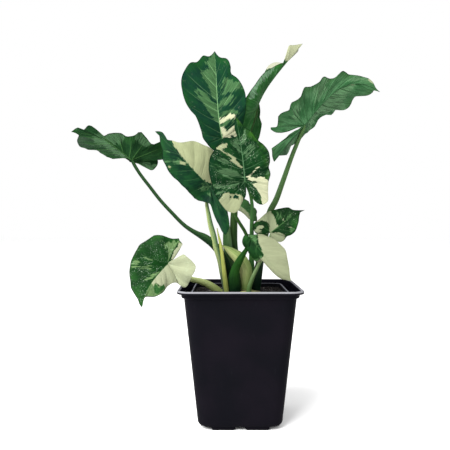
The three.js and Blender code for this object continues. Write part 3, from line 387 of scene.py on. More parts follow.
# Markings of each half: tone and outline as seen from the front, (x, z). Where an outline passes
# beyond the half's own margin or rib, it ends there.
MARKINGS = {
    ("top", "left"): [
        ("sage", [(-43, 654), (-50, 646), (-54, 642), (-54, 636), (-58, 633), (-61, 629),
            (-57, 626), (-56, 615), (-62, 615), (-63, 610), (-70, 610), (-65, 605), (-62, 598),
            (-57, 590), (-54, 583), (-51, 575), (-48, 568), (-44, 563), (-36, 555), (-36, 656)]),
        ("sage", [(-76, 583), (-71, 580), (-66, 574), (-59, 571), (-54, 564), (-47, 558),
            (-40, 551), (-36, 542), (-34, 532), (-34, 517), (-40, 517), (-44, 524), (-49, 532),
            (-54, 538), (-59, 545), (-64, 551), (-68, 558), (-72, 564), (-77, 569), (-80, 573),
            (-77, 574), (-74, 571), (-68, 564), (-70, 569), (-73, 574), (-75, 579)]),
    ],
    ("top", "right"): [
        ("sage", [(-25, 599), (-21, 599), (-15, 597), (-11, 590), (-3, 591), (5, 589), (8, 582),
            (5, 578), (-2, 577), (-8, 574), (-15, 573), (-20, 569), (-28, 567), (-30, 571),
            (-29, 576), (-24, 582), (-26, 587), (-24, 591)]),
        ("sage", [(-26, 595), (-25, 594), (-29, 584), (-33, 576), (-37, 568), (-38, 568),
            (-34, 577), (-30, 587)]),
        ("sage", [(-38, 550), (-33, 555), (-28, 560), (-21, 564), (-13, 566), (-7, 566), (-7, 561),
            (-11, 556), (-13, 551), (-20, 550), (-28, 548), (-34, 547)]),
        ("sage", [(-37, 536), (-28, 539), (-15, 539), (-6, 540), (0, 538), (-2, 534), (-6, 532),
            (-15, 534), (-26, 532), (-36, 527)]),
        ("cream", [(-36, 524), (-26, 529), (-15, 533), (-6, 531), (-7, 527), (-13, 524), (-22, 523),
            (-31, 518), (-35, 515)]),
        ("sage", [(-35, 515), (-22, 522), (-12, 525), (-6, 526), (-8, 521), (-16, 518), (-24, 512),
            (-31, 510)]),
        ("dark", [(-23, 504), (-22, 509), (-15, 515), (-8, 520), (-3, 524), (-2, 520), (-7, 516),
            (-13, 511), (-19, 506)]),
        ("cream", [(-35, 511), (-26, 510), (-22, 509), (-23, 504), (-19, 506), (-12, 511),
            (-6, 516), (-2, 518), (-3, 511), (-7, 507), (-2, 500), (-1, 493), (-7, 493), (-12, 498),
            (-15, 493), (-25, 492), (-30, 496), (-34, 503)]),
    ],
    ("front", "left"): [
        ("sage", [(-12, 476), (-5, 479), (-3, 470), (0, 461), (2, 454), (-3, 457), (-9, 464),
            (-13, 470)]),
        ("cream", [(-41, 460), (-36, 465), (-29, 469), (-23, 469), (-20, 465), (-23, 462),
            (-28, 462), (-29, 459), (-25, 455), (-18, 452), (-13, 448), (-7, 445), (-6, 440),
            (0, 435), (3, 432), (5, 430), (2, 428), (-4, 432), (-9, 437), (-14, 439), (-18, 438),
            (-17, 441), (-13, 443), (-14, 445), (-21, 450), (-28, 454), (-33, 457)]),
        ("sage", [(-40, 445), (-31, 444), (-23, 442), (-18, 439), (-25, 437), (-34, 438),
            (-39, 440)]),
        ("sage", [(-36, 426), (-27, 427), (-17, 425), (-8, 421), (1, 417), (5, 415), (-3, 414),
            (-14, 414), (-25, 415), (-29, 418), (-32, 422)]),
        ("sage", [(-21, 408), (-13, 410), (-6, 408), (2, 408), (-6, 405), (-14, 406)]),
        ("sage", [(-29, 395), (-20, 398), (-12, 400), (-3, 401), (-8, 397), (-18, 394),
            (-26, 392)]),
        ("sage", [(-44, 400), (-31, 402), (-20, 403), (-22, 400), (-32, 397), (-42, 396)]),
        ("sage", [(-40, 391), (-31, 390), (-24, 391), (-28, 386), (-34, 383), (-39, 384)]),
        ("sage", [(6, 408), (9, 408), (5, 399), (2, 390), (0, 390), (3, 399)]),
        ("cream", [(-31, 383), (-27, 388), (-21, 389), (-16, 386), (-9, 386), (-2, 386), (2, 384),
            (5, 378), (5, 372), (8, 345), (-30, 345), (-38, 372)]),
        ("dark", [(-11, 383), (-8, 385), (-3, 384), (-2, 381), (-3, 376), (-7, 379), (-9, 376),
            (-11, 379)]),
        ("dark", [(-18, 385), (-15, 386), (-15, 377), (-18, 377)]),
    ],
    ("front", "right"): [
        ("sage", [(9, 445), (7, 453), (12, 458), (16, 463), (23, 469), (26, 468), (25, 463),
            (20, 457), (15, 452), (12, 445)]),
        ("sage", [(6, 496), (9, 496), (10, 480), (7, 467), (4, 466), (5, 480)]),
        ("cream", [(11, 415), (20, 422), (30, 432), (31, 430), (25, 425), (21, 420), (15, 414)]),
        ("cream", [(12, 411), (15, 413), (20, 413), (25, 413), (33, 414), (41, 413), (45, 407),
            (60, 400), (55, 360), (37, 366), (35, 377), (35, 381), (32, 388), (28, 390), (28, 395),
            (23, 399), (21, 402), (27, 406), (25, 408), (19, 407)]),
        ("sage", [(45, 425), (48, 434), (51, 421), (48, 409), (46, 406), (44, 414)]),
    ],
    ("half_cream", "left"): [
        ("sage", [(-130, 444), (-118, 445), (-110, 446), (-103, 447), (-97, 444), (-93, 441),
            (-90, 438), (-97, 437), (-104, 437), (-112, 439), (-120, 441), (-129, 441)]),
        ("cream", [(-104, 445), (-97, 444), (-91, 440), (-90, 438), (-96, 438), (-101, 439)]),
        ("sage", [(-133, 466), (-128, 466), (-122, 462), (-122, 460), (-128, 463)]),
        ("cream", [(-122, 435), (-117, 434), (-118, 431), (-122, 432)]),
        ("sage", [(-55, 389), (-50, 389), (-50, 385), (-54, 385)]),
        ("sage", [(-72, 399), (-62, 404), (-52, 402), (-56, 396), (-66, 394)]),
    ],
    ("half_cream", "right"): [
        ("cream", [(-118, 510), (-117, 481), (-112, 470), (-106, 462), (-98, 452), (-89, 441),
            (-80, 430), (-68, 417), (-49, 406), (-10, 400), (-10, 510)]),
    ],
    ("low_left", "left"): [
        ("cream", [(-110, 290), (-60, 300), (-60, 220), (-122, 225), (-126, 234), (-133, 235),
            (-140, 240), (-142, 235), (-147, 243), (-152, 250), (-125, 280)]),
        ("sage", [(-170, 205), (-135, 214), (-124, 228), (-128, 238), (-139, 240), (-147, 246),
            (-155, 232)]),
        ("dark", [(-140, 238), (-137, 236), (-133, 232), (-127, 236), (-124, 232), (-129, 226),
            (-135, 222), (-141, 224), (-142, 231)]),
    ],
    ("low_left", "right"): [
        ("sage", [(-127, 299), (-122, 305), (-115, 306), (-108, 307), (-104, 305), (-107, 299),
            (-113, 291), (-119, 280), (-121, 276), (-124, 289)]),
        ("cream", [(-119, 270), (-113, 290), (-105, 303), (-94, 303), (-98, 295), (-106, 282),
            (-112, 270)]),
        ("sage", [(-161, 246), (-148, 250), (-136, 256), (-146, 245)]),
        ("sage", [(-136, 310), (-133, 309), (-131, 300), (-134, 301)]),
        ("sage", [(-180, 272), (-174, 274), (-168, 274), (-172, 272)]),
        ("sage", [(-182, 264), (-176, 268), (-171, 267), (-176, 264)]),
        ("sage", [(-163, 281), (-150, 276), (-149, 274), (-160, 278)]),
        ("sage", [(-170, 262), (-158, 265), (-150, 262), (-160, 261)]),
    ],
    ("drooping", "left"): [
        ("cream", [(29, 324), (30, 306), (35, 293), (39, 281), (45, 268), (60, 235), (95, 235),
            (95, 330), (29, 330)]),
        ("sage", [(12, 319), (21, 322), (28, 320), (28, 309), (26, 302), (23, 303), (18, 310)]),
        ("dark", [(28, 324), (29, 324), (30, 307), (36, 294), (33, 294), (28, 306)]),
    ],
    ("drooping", "right"): [
        ("cream", [(42, 288), (33, 279), (26, 270), (60, 240), (95, 238), (60, 268)]),
        ("sage", [(24, 282), (34, 284), (42, 283), (34, 270), (22, 276)]),
    ],
    ("small_right", "left"): [
        ("cream", [(22, 338), (30, 347), (45, 359), (54, 362), (56, 355), (59, 349), (61, 342),
            (63, 336), (67, 334), (58, 320), (51, 322), (51, 331), (48, 338), (44, 342), (36, 343),
            (28, 340)]),
        ("cream", [(26, 325), (31, 332), (38, 335), (43, 333), (40, 328), (33, 327), (38, 323),
            (29, 321)]),
        ("sage", [(62, 357), (69, 358), (71, 350), (70, 343), (66, 348)]),
        ("sage", [(80, 350), (86, 356), (86, 349), (80, 344)]),
        ("cream", [(72, 347), (77, 342), (79, 339), (75, 341)]),
    ],
    ("small_right", "right"): [
        ("cream", [(50, 322), (58, 322), (67, 323), (77, 318), (76, 302), (60, 300), (48, 312)]),
        ("cream", [(80, 333), (87, 332), (88, 331), (81, 331)]),
        ("sage", [(84, 329), (90, 333), (92, 328), (86, 323)]),
    ],
    ("tucked", "right"): [
        ("cream", [(-12, 380), (2, 372), (12, 360), (20, 350), (24, 340), (-12, 340)]),
    ],
    ("rolled", "left"): [
        ("cream", [(52, 632), (60, 632), (90, 634), (130, 650), (130, 700), (52, 700)]),
    ],
    ("rolled", "right"): [
        ("cream", [(85, 645), (94, 641), (125, 650), (125, 690), (85, 690)]),
        ("sage", [(20, 580), (38, 607), (52, 622), (66, 634), (70, 628), (60, 617), (50, 604),
            (38, 589), (32, 577), (25, 562), (18, 566)]),
    ],
    ("far_left", "left"): [
        ("sage", [(-238, 486), (-222, 491), (-204, 491), (-193, 484), (-200, 474), (-214, 470),
            (-226, 477)]),
        ("sage", [(-178, 486), (-168, 493), (-160, 484), (-152, 474), (-160, 470), (-170, 474)]),
    ],
    ("far_left", "right"): [
        ("sage", [(-250, 474), (-232, 470), (-214, 456), (-200, 450), (-196, 455), (-212, 466),
            (-228, 480), (-246, 482)]),
        ("sage", [(-172, 442), (-160, 433), (-148, 430), (-146, 440), (-158, 444)]),
    ],
    ("far_right", "left"): [
        ("sage", [(128, 520), (140, 545), (160, 570), (185, 592), (205, 598), (215, 590),
            (200, 575), (190, 562), (203, 552), (185, 545), (165, 545), (150, 540), (140, 530),
            (133, 508)]),
        ("cream", [(201, 586), (206, 592), (210, 595), (209, 591), (205, 586)]),
        ("sage", [(96, 490), (104, 496), (108, 490), (96, 474), (84, 466), (82, 474)]),
    ],
    ("far_right", "right"): [
        ("sage", [(196, 592), (222, 592), (236, 590), (232, 598), (212, 602)]),
        ("cream", [(228, 596), (234, 596), (238, 591), (240, 586), (236, 588)]),
        ("sage", [(134, 574), (142, 586), (150, 596), (162, 596), (156, 578), (144, 560),
            (136, 556)]),
        ("sage", [(100, 548), (110, 552), (111, 530), (104, 520), (96, 528)]),
    ],
}

# Colours of the leaves as 0-255 values: dark ground, mid green, fresher green near the margin,
# pale green panels, cream, veins, flecks and the islands in cream. marble, specks, veins, rays,
# ribs and lines say how strong marbling, flecks, veins, veins across pale panels, the midrib and
# dark lines between the veins show; torn is how ragged cream ends, mottle how uneven it is, gloss
# the shine. A tone with _left or _right is for that half alone.
DEEP = {"dark": (9, 33, 22), "mid": (16, 48, 27), "fresh": (18, 54, 24), "sage": (56, 88, 54),
        "cream": (150, 152, 124), "vein": (92, 124, 84), "fleck": (150, 156, 130),
        "island": (9, 33, 20), "marble": 0.3, "specks": 0.25, "veins": 0.3, "rays": 0.5,
        "ribs": 0.75, "lines": 0.25, "torn": 0.36, "mottle": 0.5, "gloss": 0.0}
BRIGHT = {"dark": (9, 32, 12), "mid": (15, 46, 17), "fresh": (24, 60, 20), "sage": (58, 90, 52),
          "cream": (116, 124, 96), "vein": (72, 108, 62), "fleck": (136, 156, 128),
          "island": (12, 38, 14), "marble": 0.3, "specks": 0.5, "veins": 0.2, "rays": 0.2,
          "ribs": 0.3, "lines": 0.2, "torn": 0.36, "mottle": 0.5, "gloss": 0.02}
PALETTES = {
    "top": {**DEEP, "dark": (13, 39, 28), "torn": 0.8},
    # front: the left half's darker cream is painted shade on the lobe that turns from the light,
    # and the paler cream_right is painted light.
    "front": {**DEEP, "dark": (8, 30, 14), "mid": (16, 46, 20), "fresh": (34, 66, 20),
              "fresh_left": (10, 36, 20), "sage": (56, 82, 54), "cream": (116, 121, 92),
              "cream_right": (150, 151, 124), "vein": (74, 106, 74), "fleck": (158, 176, 150),
              "marble": 0.9, "specks": 0.9, "ribs": 0.45},
    "half_cream": {**DEEP, "mid": (18, 52, 27), "cream": (119, 124, 93), "marble": 0.1,
                   "specks": 0.1, "veins": 0.15, "ribs": 0.15, "gloss": 0.02},
    "low_left": {**BRIGHT, "dark": (8, 36, 10), "mid": (14, 48, 15), "sage": (84, 110, 68),
                 "cream": (128, 133, 107), "fleck": (150, 172, 148), "island": (30, 66, 28),
                 "marble": 0.4, "specks": 1.2, "veins": 0.06, "ribs": 0.1},
    "drooping": {**BRIGHT, "cream": (113, 118, 92), "island": (14, 44, 20), "marble": 0,
                 "specks": 0, "ribs": 0.1},
    "small_right": {**BRIGHT, "marble": 0.6, "specks": 0.6},
    # rolled: the paler cream_right is painted light on the half that turns away, and the other
    # half's cream is darker.
    "rolled": {**BRIGHT, "dark": (22, 54, 24), "mid": (38, 68, 38), "sage": (66, 90, 68),
               "cream": (130, 131, 114), "cream_right": (146, 150, 120), "specks": 0.1,
               "rays": 0.4, "lines": 0.4, "torn": 0.6, "mottle": 0.1},
    # far_right: its dark vein tone is the veins' own colour together with painted shade in the
    # sunken vein valleys.
    "far_right": {**BRIGHT, "dark": (28, 56, 32), "mid": (44, 70, 46), "fresh": (34, 60, 34),
                  "sage": (56, 82, 56), "vein": (18, 42, 20), "marble": 0, "specks": 0.05,
                  "veins": 0.6, "rays": 0.2, "lines": 0.5},
    "far_left": {**BRIGHT, "dark": (12, 33, 16), "mid": (20, 43, 21), "fresh": (20, 46, 20),
                 "sage": (46, 70, 46), "vein": (46, 74, 38), "marble": 0, "specks": 0.05,
                 "veins": 0.45, "rays": 0, "lines": 0.5},
    "tucked": {**BRIGHT, "dark": (34, 64, 34), "mid": (46, 76, 42), "fresh": (44, 78, 40)},
}
UNDERSIDE_LIFT = 1.3

# Colours of each stalk: at its foot, along its left side and along its right side. The left and
# right colours are painted light and shade: a lit side and a shaded side.
STALK_TONES = {
    "rolled": ((44, 70, 36), (60, 88, 46), (40, 68, 30)),
    "top": ((56, 86, 48), (38, 72, 33), (84, 112, 72)),
    "far_right": ((6, 26, 13), (56, 82, 46), (60, 86, 46)),
    "tucked": ((30, 64, 22), (50, 82, 36), (44, 74, 32)),
    "far_left": ((3, 22, 7), (14, 40, 16), (38, 64, 34)),
    "low_left": ((110, 122, 70), (150, 162, 104), (158, 170, 114)),
    "front": ((36, 74, 26), (52, 88, 46), (44, 78, 40)),
    "small_right": ((60, 84, 44), (108, 130, 88), (96, 118, 76)),
    "half_cream": ((55, 68, 52), (122, 134, 84), (66, 94, 60)),
    "drooping": ((4, 22, 8), (24, 58, 18), (30, 66, 20)),
    "sheath_leaf": ((84, 104, 54), (150, 158, 104), (116, 134, 78)),
    "young_spear": ((92, 100, 48), (122, 128, 62), (138, 144, 76)),
}

# Noises of the leaf skin: scale, detail, roughness and, where given, distortion. Those of the net
# have a scale for each direction: along the leaf, across it and between leaves.
NET_PATTERNS = {
    "streak": ((2.2, 3.0, 1), 4.0, 0.6),
    "torn": ((5.5, 7.0, 1), 3.0, 0.6),
    "line": ((11, 2.5, 1), 2.0, 0.5),
    "marble": ((3.4, 4.5, 1), 5.0, 0.7, 0.4),
}
PLACE_PATTERNS = {
    "cloud": (45, 3.0, 0.5),
    "speck": (620, 2.5, 0.65),
    "gate": (60, 3.0, 0.5),
    "grain": (1500, 1.0, 0.5),
}

# How far the noises tear the ends of the markings, and how far from vein, rib or margin a line or
# band of colour begins and ends, in millimetres
TEARS = {"streak": 22, "torn": 11}
FRESH_BAND = (2, 16)
VEIN_BAND = (0.2, 1.0)
VEIN_FADE = (1, 26)
RIB_BAND = (0.5, 1.7)
MARGIN_BAND = (0.4, 1.7)

# Roughness and specular level of each material, and how deep its bumps are in metres. A leaf's
# specular level is its gloss.
FINISHES = {
    "leaf": (0.42, 0, 0.0008),
    "stalk": (0.45, 0.04, 0.0006),
    "pot": (0.4, 0.006, 0.00012),
    "inside": (0.8, 0, 0),
    "grow_pot": (0.5, 0.03, 0),
    "peat": (0.95, 0.2, 0.002),
    "perlite": (0.9, 0.2, 0.0006),
    "corm": (0.7, 0.3, 0.0012),
    "floor": (0.9, 0.1, 0),
}

# Colours of the other surfaces as 0-255 values: two that mix in clouds, and a third and fourth for
# scuffs, damp, scars or a painted highlight along the top of a rim
SURFACES = {
    "pot": {"dark": (11, 11, 15), "light": (15, 13, 18), "scuff": (44, 44, 48),
            "rim_highlight": (112, 112, 116)},
    # The inside colours are darker than the pot's own: painted shade.
    "inside": {"dark": (4, 4, 8), "light": (12, 12, 17), "rim_highlight": (112, 112, 118)},
    "grow_pot": {"dark": (3, 3, 6), "light": (10, 10, 13), "rim_highlight": (92, 94, 102)},
    "peat": {"dark": (10, 9, 8), "light": (34, 29, 25), "damp": (22, 19, 17)},
    "perlite": {"dark": (84, 82, 76), "light": (128, 126, 118)},
    "corm": {"dark": (64, 58, 34), "light": (122, 124, 72), "scar": (78, 60, 40)},
    "floor": {"dark": (253.31, 253.31, 253.31), "light": (255, 255, 255)},
}


def unit(v):
    return v / np.maximum(np.linalg.norm(v, axis=-1, keepdims=True), 1e-9)


def smooth(x):
    x = np.clip(x, 0, 1)
    return x * x * (3 - 2 * x)


def bell(x):
    return np.maximum(0, 1 - x * x) ** 2


# Meshes

def link(name, data):
    """A new object in the scene."""
    thing = bpy.data.objects.new(name, data)
    bpy.context.scene.collection.objects.link(thing)
    return thing


def plain_object(name, points, faces):
    """An object from points in millimetres."""
    mesh = bpy.data.meshes.new(name)
    mesh.from_pydata((np.asarray(points, float) * MM).tolist(), [], faces)
    mesh.update()
    return link(name, mesh)


def dress(piece, materials, node):
    """Shades a piece smoothly, hangs it on the root body and hides the CAD part it stands in for.
    """
    mesh = piece.data
    for material in materials:
        mesh.materials.append(material)
    mesh.polygons.foreach_set("use_smooth", np.ones(len(mesh.polygons), bool))
    mesh.update()
    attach(piece, "root")
    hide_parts(node)


def add_field(mesh, name, values):
    """A number, or three, for each point of a mesh, which its material reads by name."""
    values = np.asarray(values, np.float32)
    kind, entry = ("FLOAT_VECTOR", "vector") if values.ndim == 2 else ("FLOAT", "value")
    mesh.attributes.new(name, kind, "POINT").data.foreach_set(entry, values.ravel())


def sharpen(mesh, loops):
    """Marks the edges between neighbours in each closed loop of points as sharp."""
    pairs = {frozenset(p) for loop in loops for p in zip(loop, loop[1:] + loop[:1])}
    marks = [frozenset(edge.vertices) in pairs for edge in mesh.edges]
    mesh.attributes.new("sharp_edge", "BOOLEAN", "EDGE").data.foreach_set("value", marks)


def bands(count, sides):
    """Faces between each ring of points and the one after it."""
    corners = [(k * sides + i, k * sides + (i + 1) % sides) for k in range(count - 1)
               for i in range(sides)]
    return [(a, b, b + sides, a + sides) for a, b in corners]


def loft(rings):
    """Points and faces of a closed skin over rings of equal length, from one end to the other."""
    count = len(rings[0])
    points = [p for ring in rings for p in ring]
    faces = bands(len(rings), count)
    faces.append(tuple(range(count))[::-1])
    faces.append(tuple(range((len(rings) - 1) * count, len(rings) * count)))
    return points, faces


# Materials

def lifted(colour, factor):
    return tuple(min(255, c * factor) for c in colour)


def linear(colour):
    """A shader colour from 0-255 values."""
    shares = [c / 255 for c in colour]
    return tuple(c / 12.92 if c < 0.04 else ((c + 0.055) / 1.055) ** 2.4 for c in shares) + (1,)


class Paint:
    """A material, with short calls that add nodes to it. Its colours are 0-255 values."""

    def __init__(self, name, kind):
        roughness, specular, self.depth = FINISHES[kind]
        self.material = bpy.data.materials.new(name)
        self.material.use_nodes = True
        self.nodes = self.material.node_tree.nodes
        self.links = self.material.node_tree.links
        self.shader = self.nodes["Principled BSDF"]
        self.put(self.shader.inputs["Roughness"], roughness)
        self.put(self.shader.inputs["Specular IOR Level"], specular)

    def put(self, socket, value):
        """Links a socket to another, or gives it a number, a list of them or a colour."""
        if isinstance(value, bpy.types.NodeSocket):
            self.links.new(value, socket)
        else:
            socket.default_value = linear(value) if isinstance(value, tuple) else value

    def add(self, kind, inputs, **settings):
        """The outputs of a new node."""
        node = self.nodes.new(f"ShaderNode{kind}")
        for key, setting in settings.items():
            setattr(node, key, setting)
        for key, value in inputs.items():
            self.put(node.inputs[key], value)
        return node.outputs

    def field(self, name, output="Fac"):
        return self.add("Attribute", {}, attribute_name=name)[output]

    def place(self):
        return self.add("TexCoord", {})["Object"]

    def maths(self, operation, a, b=0.0):
        return self.add("Math", {0: a, 1: b}, operation=operation)[0]

    def times(self, a, b):
        return self.maths("MULTIPLY", a, b)

    def plus(self, a, b):
        return self.maths("ADD", a, b)

    def most(self, a, b):
        return self.maths("MAXIMUM", a, b)

    def swing(self, noise, amount):
        """A noise about nought instead of a half."""
        return self.times(self.plus(noise, -0.5), amount)

    def ramp(self, value, low, high, start=0.0, end=1.0):
        """start below low, end above high, smooth between."""
        inputs = dict(enumerate((value, low, high, start, end)))
        return self.add("MapRange", inputs, interpolation_type="SMOOTHSTEP")[0]

    def parts(self, vector):
        return self.add("SeparateXYZ", {0: vector})

    def noise(self, vector, scale, detail=3.0, roughness=0.5, spread=0.0):
        """A noise, whose scale may be three numbers to stretch it."""
        if isinstance(scale, tuple):
            vector = self.add("VectorMath", {0: vector, 1: list(scale)}, operation="MULTIPLY")[0]
            scale = 1.0
        return self.add("TexNoise", {"Vector": vector, "Scale": scale, "Detail": detail,
                                     "Roughness": roughness, "Distortion": spread})[0]

    def mix(self, share, a, b):
        return self.add("Mix", {0: share, 6: a, 7: b}, data_type="RGBA")[2]

    def finish(self, colour, height=None, roughness=None):
        """The material, with its colour, its bumps and what its roughness follows."""
        self.put(self.shader.inputs["Base Color"], colour)
        if height:
            bump = self.add("Bump", {"Distance": self.depth, "Height": height})[0]
            self.put(self.shader.inputs["Normal"], bump)
        if roughness:
            self.put(self.shader.inputs["Roughness"], roughness)
        return self.material


class LeafPaint(Paint):
    """Marbled leaf skin: streaked greens, pale panels with torn edges, flecks, veins and margin."""

    def __init__(self, name, under):
        self.palette = PALETTES[name]
        self.lift = UNDERSIDE_LIFT if under else 1
        side = "under" if under else "upper"
        super().__init__(f"leaf_{name}_{side}", "leaf")
        self.put(self.shader.inputs["Specular IOR Level"], self.palette["gloss"])
        self.depth *= self.palette["mottle"]
        net = self.field("net", "Vector")
        place = self.place()
        self.right = self.ramp(self.parts(net)[1], -0.03, 0.03)
        self.noises = {key: self.noise(net, *given) for key, given in NET_PATTERNS.items()}
        self.noises.update({key: self.noise(place, *given)
                            for key, given in PLACE_PATTERNS.items()})
        coarse, fine = (self.swing(self.noises[key], reach) for key, reach in TEARS.items())
        self.tear = self.plus(coarse, fine)

    def tone(self, name, factor=1):
        return lifted(self.palette[name], factor)

    def two_toned(self, name, factor=1):
        """A tone that a half may have of its own."""
        left, right = (self.palette.get(f"{name}_{half}", self.palette[name])
                       for half in ("left", "right"))
        return self.mix(self.right, lifted(left, factor), lifted(right, factor))

    def greens(self):
        """Dark ground with clouds of mid green, fresher near the margin."""
        cloud = self.noises["cloud"]
        share = self.ramp(self.plus(self.noises["streak"], cloud), 0.8, 1.25)
        ground = self.mix(share, self.tone("dark", self.lift), self.tone("mid", self.lift))
        outer = self.ramp(self.field("edge"), *FRESH_BAND, 1, 0)
        share = self.times(outer, self.ramp(cloud, 0.35, 0.65))
        return self.mix(share, ground, self.two_toned("fresh", self.lift))

    def panels(self, colour):
        """Pale green panels and marbling, and dark lines between the veins."""
        line = self.noises["line"]
        low = 0.78 - 0.2 * self.palette["marble"]
        marbling = self.times(self.ramp(self.noises["marble"], low, low + 0.03), 0.75)
        panel = self.ramp(self.plus(self.field("sage"), self.tear), -0.8, 0.8)
        self.sage = self.most(panel, marbling)
        pale = self.mix(self.ramp(line, 0.35, 0.68), self.tone("sage", 0.78 * self.lift),
                        self.tone("sage", self.lift))
        colour = self.mix(self.sage, colour, pale)
        crease = self.ramp(line, 0.36, 0.52, self.palette["lines"], 0)
        return self.mix(crease, colour, self.tone("dark", 0.6))

    def creams(self, colour):
        """Cream with ragged ends, and the islands in it."""
        tear = self.times(self.tear, self.palette["torn"])
        self.cream = self.ramp(self.plus(self.field("cream"), tear), -0.5, 0.6)
        uneven = self.ramp(self.plus(self.noises["cloud"], self.noises["line"]), 0.8, 1.2, 0,
                           self.palette["mottle"])
        light = self.mix(uneven, self.two_toned("cream"), self.tone("cream", 0.87))
        colour = self.mix(self.cream, colour, light)
        island = self.ramp(self.plus(self.field("dark"), self.times(self.tear, 0.3)), -0.4, 0.5)
        return self.mix(island, colour, self.tone("island"))

    def flecks(self, colour):
        """Fine pale flecks that gather in clouds."""
        amount = self.palette["specks"]
        gate = self.ramp(self.noises["gate"], 0.62 - 0.2 * amount, 0.7)
        share = self.times(self.ramp(self.noises["speck"], 0.6, 0.66), gate)
        return self.mix(self.times(share, 0.75 * min(1, 2 * amount)), colour, self.tone("fleck"))

    def veins(self, colour):
        """Veins, clearer on pale panels and faint on cream, and the midrib."""
        vein = self.ramp(self.field("vein"), *VEIN_BAND, 1, 0)
        inner = self.ramp(self.field("edge"), *VEIN_FADE)
        strength = self.plus(self.times(self.sage, self.palette["rays"]), self.palette["veins"])
        strength = self.times(strength, self.ramp(self.cream, 0, 1, 1, 0.3))
        share = self.times(self.times(vein, inner), strength)
        colour = self.mix(share, colour, self.tone("vein", self.lift))
        rib = self.times(self.ramp(self.field("rib"), *RIB_BAND, 1, 0), self.palette["ribs"])
        return self.mix(rib, colour, self.tone("vein", 1.15))

    def margin(self, colour):
        """The dark line along the margin."""
        margin = self.ramp(self.field("edge"), *MARGIN_BAND, 1, 0)
        margin = self.times(margin, self.ramp(self.cream, 0, 1, 0.8, 0.15))
        return self.mix(margin, colour, self.tone("dark", 0.55))

    def skin(self):
        colour = self.greens()
        for coat in (self.panels, self.creams, self.flecks, self.veins, self.margin):
            colour = coat(colour)
        height = self.plus(self.noises["line"], self.times(self.noises["grain"], 0.3))
        return self.finish(colour, height, self.ramp(self.noises["cloud"], 0.3, 0.7, 0.38, 0.52))


def stalk_material(name):
    """Green stalk with lengthwise streaks and paler sheath edges, painted lit along one side and
    shaded along the other.
    """
    foot, left, right = STALK_TONES[name]
    paint = Paint(f"stalk_{name}", "stalk")
    run = paint.field("run", "Vector")
    streak = paint.noise(run, (1.6, 0.02, 1), 4.0, 0.55)
    fine = paint.noise(run, (5, 0.04, 1))
    cloud = paint.noise(paint.place(), 60)
    # Painted light and shade: the left and right colours meet around the stalk, one side lit, the
    # other shaded.
    side = paint.plus(paint.field("side"), paint.swing(streak, 3))
    colour = paint.mix(paint.ramp(side, -0.6, 0.6), left, right)
    rise = paint.plus(paint.field("rise"), paint.swing(cloud, 0.2))
    colour = paint.mix(paint.ramp(rise, 0.12, 0.45), foot, colour)
    colour = paint.mix(paint.ramp(fine, 0.35, 0.55, 0.5, 0), colour, lifted(foot, 0.8))
    wing = paint.times(paint.ramp(paint.field("wing"), 0.2, 0.9), 0.5)
    colour = paint.mix(wing, colour, lifted(right, 1.2))
    height = paint.plus(fine, paint.times(cloud, 0.5))
    return paint.finish(colour, height, paint.ramp(cloud, 0.3, 0.7, 0.38, 0.55))


def pot_material():
    """Satin black moulded plastic with fine grain, dust and faint scuffs, and a painted highlight
    along the top of the rim's outer edge.
    """
    tone = SURFACES["pot"]
    paint = Paint("pot_plastic", "pot")
    place = paint.place()
    cloud = paint.noise(place, 14, 4.0)
    scuff = paint.noise(place, (180, 180, 27), 5.0, 0.7)
    colour = paint.mix(paint.ramp(cloud, 0.35, 0.7), tone["dark"], tone["light"])
    colour = paint.mix(paint.ramp(scuff, 0.62, 0.8, 0, 0.2), colour, tone["scuff"])
    x, y, z = paint.parts(place)
    width, depth = paint.maths("ABSOLUTE", x), paint.maths("ABSOLUTE", y)
    corner = paint.times(paint.plus(width, depth), CORNER_SHARE)
    out = paint.most(paint.most(width, depth), corner)
    # Painted highlight: a pale band along the top of the rim's outer edge, all the way round.
    edge = paint.times(paint.ramp(out, (POT_RIM_HALF - 3) * MM, (POT_RIM_HALF - 2) * MM),
                       paint.ramp(z, (POT_HEIGHT - 3) * MM, (POT_HEIGHT - 1.8) * MM))
    colour = paint.mix(edge, colour, tone["rim_highlight"])
    return paint.finish(colour, paint.noise(place, 2200, 2.0),
                        paint.ramp(paint.plus(cloud, scuff), 0.8, 1.3, 0.36, 0.52))


def shaded_pot_inside_material():
    """A darker, dull copy of the pot's plastic on its inside faces and low ledges, as painted
    shade, with a painted highlight along the top of the mouth's left and right sides.
    """
    tone = SURFACES["inside"]
    paint = Paint("pot_inside_shaded", "inside")
    place = paint.place()
    x, y, z = paint.parts(place)
    # Painted highlight along the top of the mouth, on its left and right sides only.
    lit_sides = paint.plus(paint.maths("ABSOLUTE", x), paint.times(paint.maths("ABSOLUTE", y), -1))
    rim_highlight = paint.times(paint.ramp(z, (POT_HEIGHT - 2.2) * MM, (POT_HEIGHT - 1.4) * MM),
                       paint.ramp(lit_sides, 0, 0.01))
    colour = paint.mix(paint.noise(place, 40), tone["dark"], tone["light"])
    return paint.finish(paint.mix(rim_highlight, colour, tone["rim_highlight"]))


def grow_pot_material():
    """Thin dark plastic with a painted highlight along the top of its rim."""
    tone = SURFACES["grow_pot"]
    paint = Paint("grow_pot_plastic", "grow_pot")
    place = paint.place()
    colour = paint.mix(paint.noise(place, 30, 4.0), tone["dark"], tone["light"])
    height = paint.parts(place)[2]
    # Painted highlight: the top of the rim is lightened.
    rim = paint.ramp(height, (LINER_TOP - 0.9) * MM, (LINER_TOP - 0.2) * MM, 0, 0.9)
    return paint.finish(paint.mix(rim, colour, tone["rim_highlight"]))


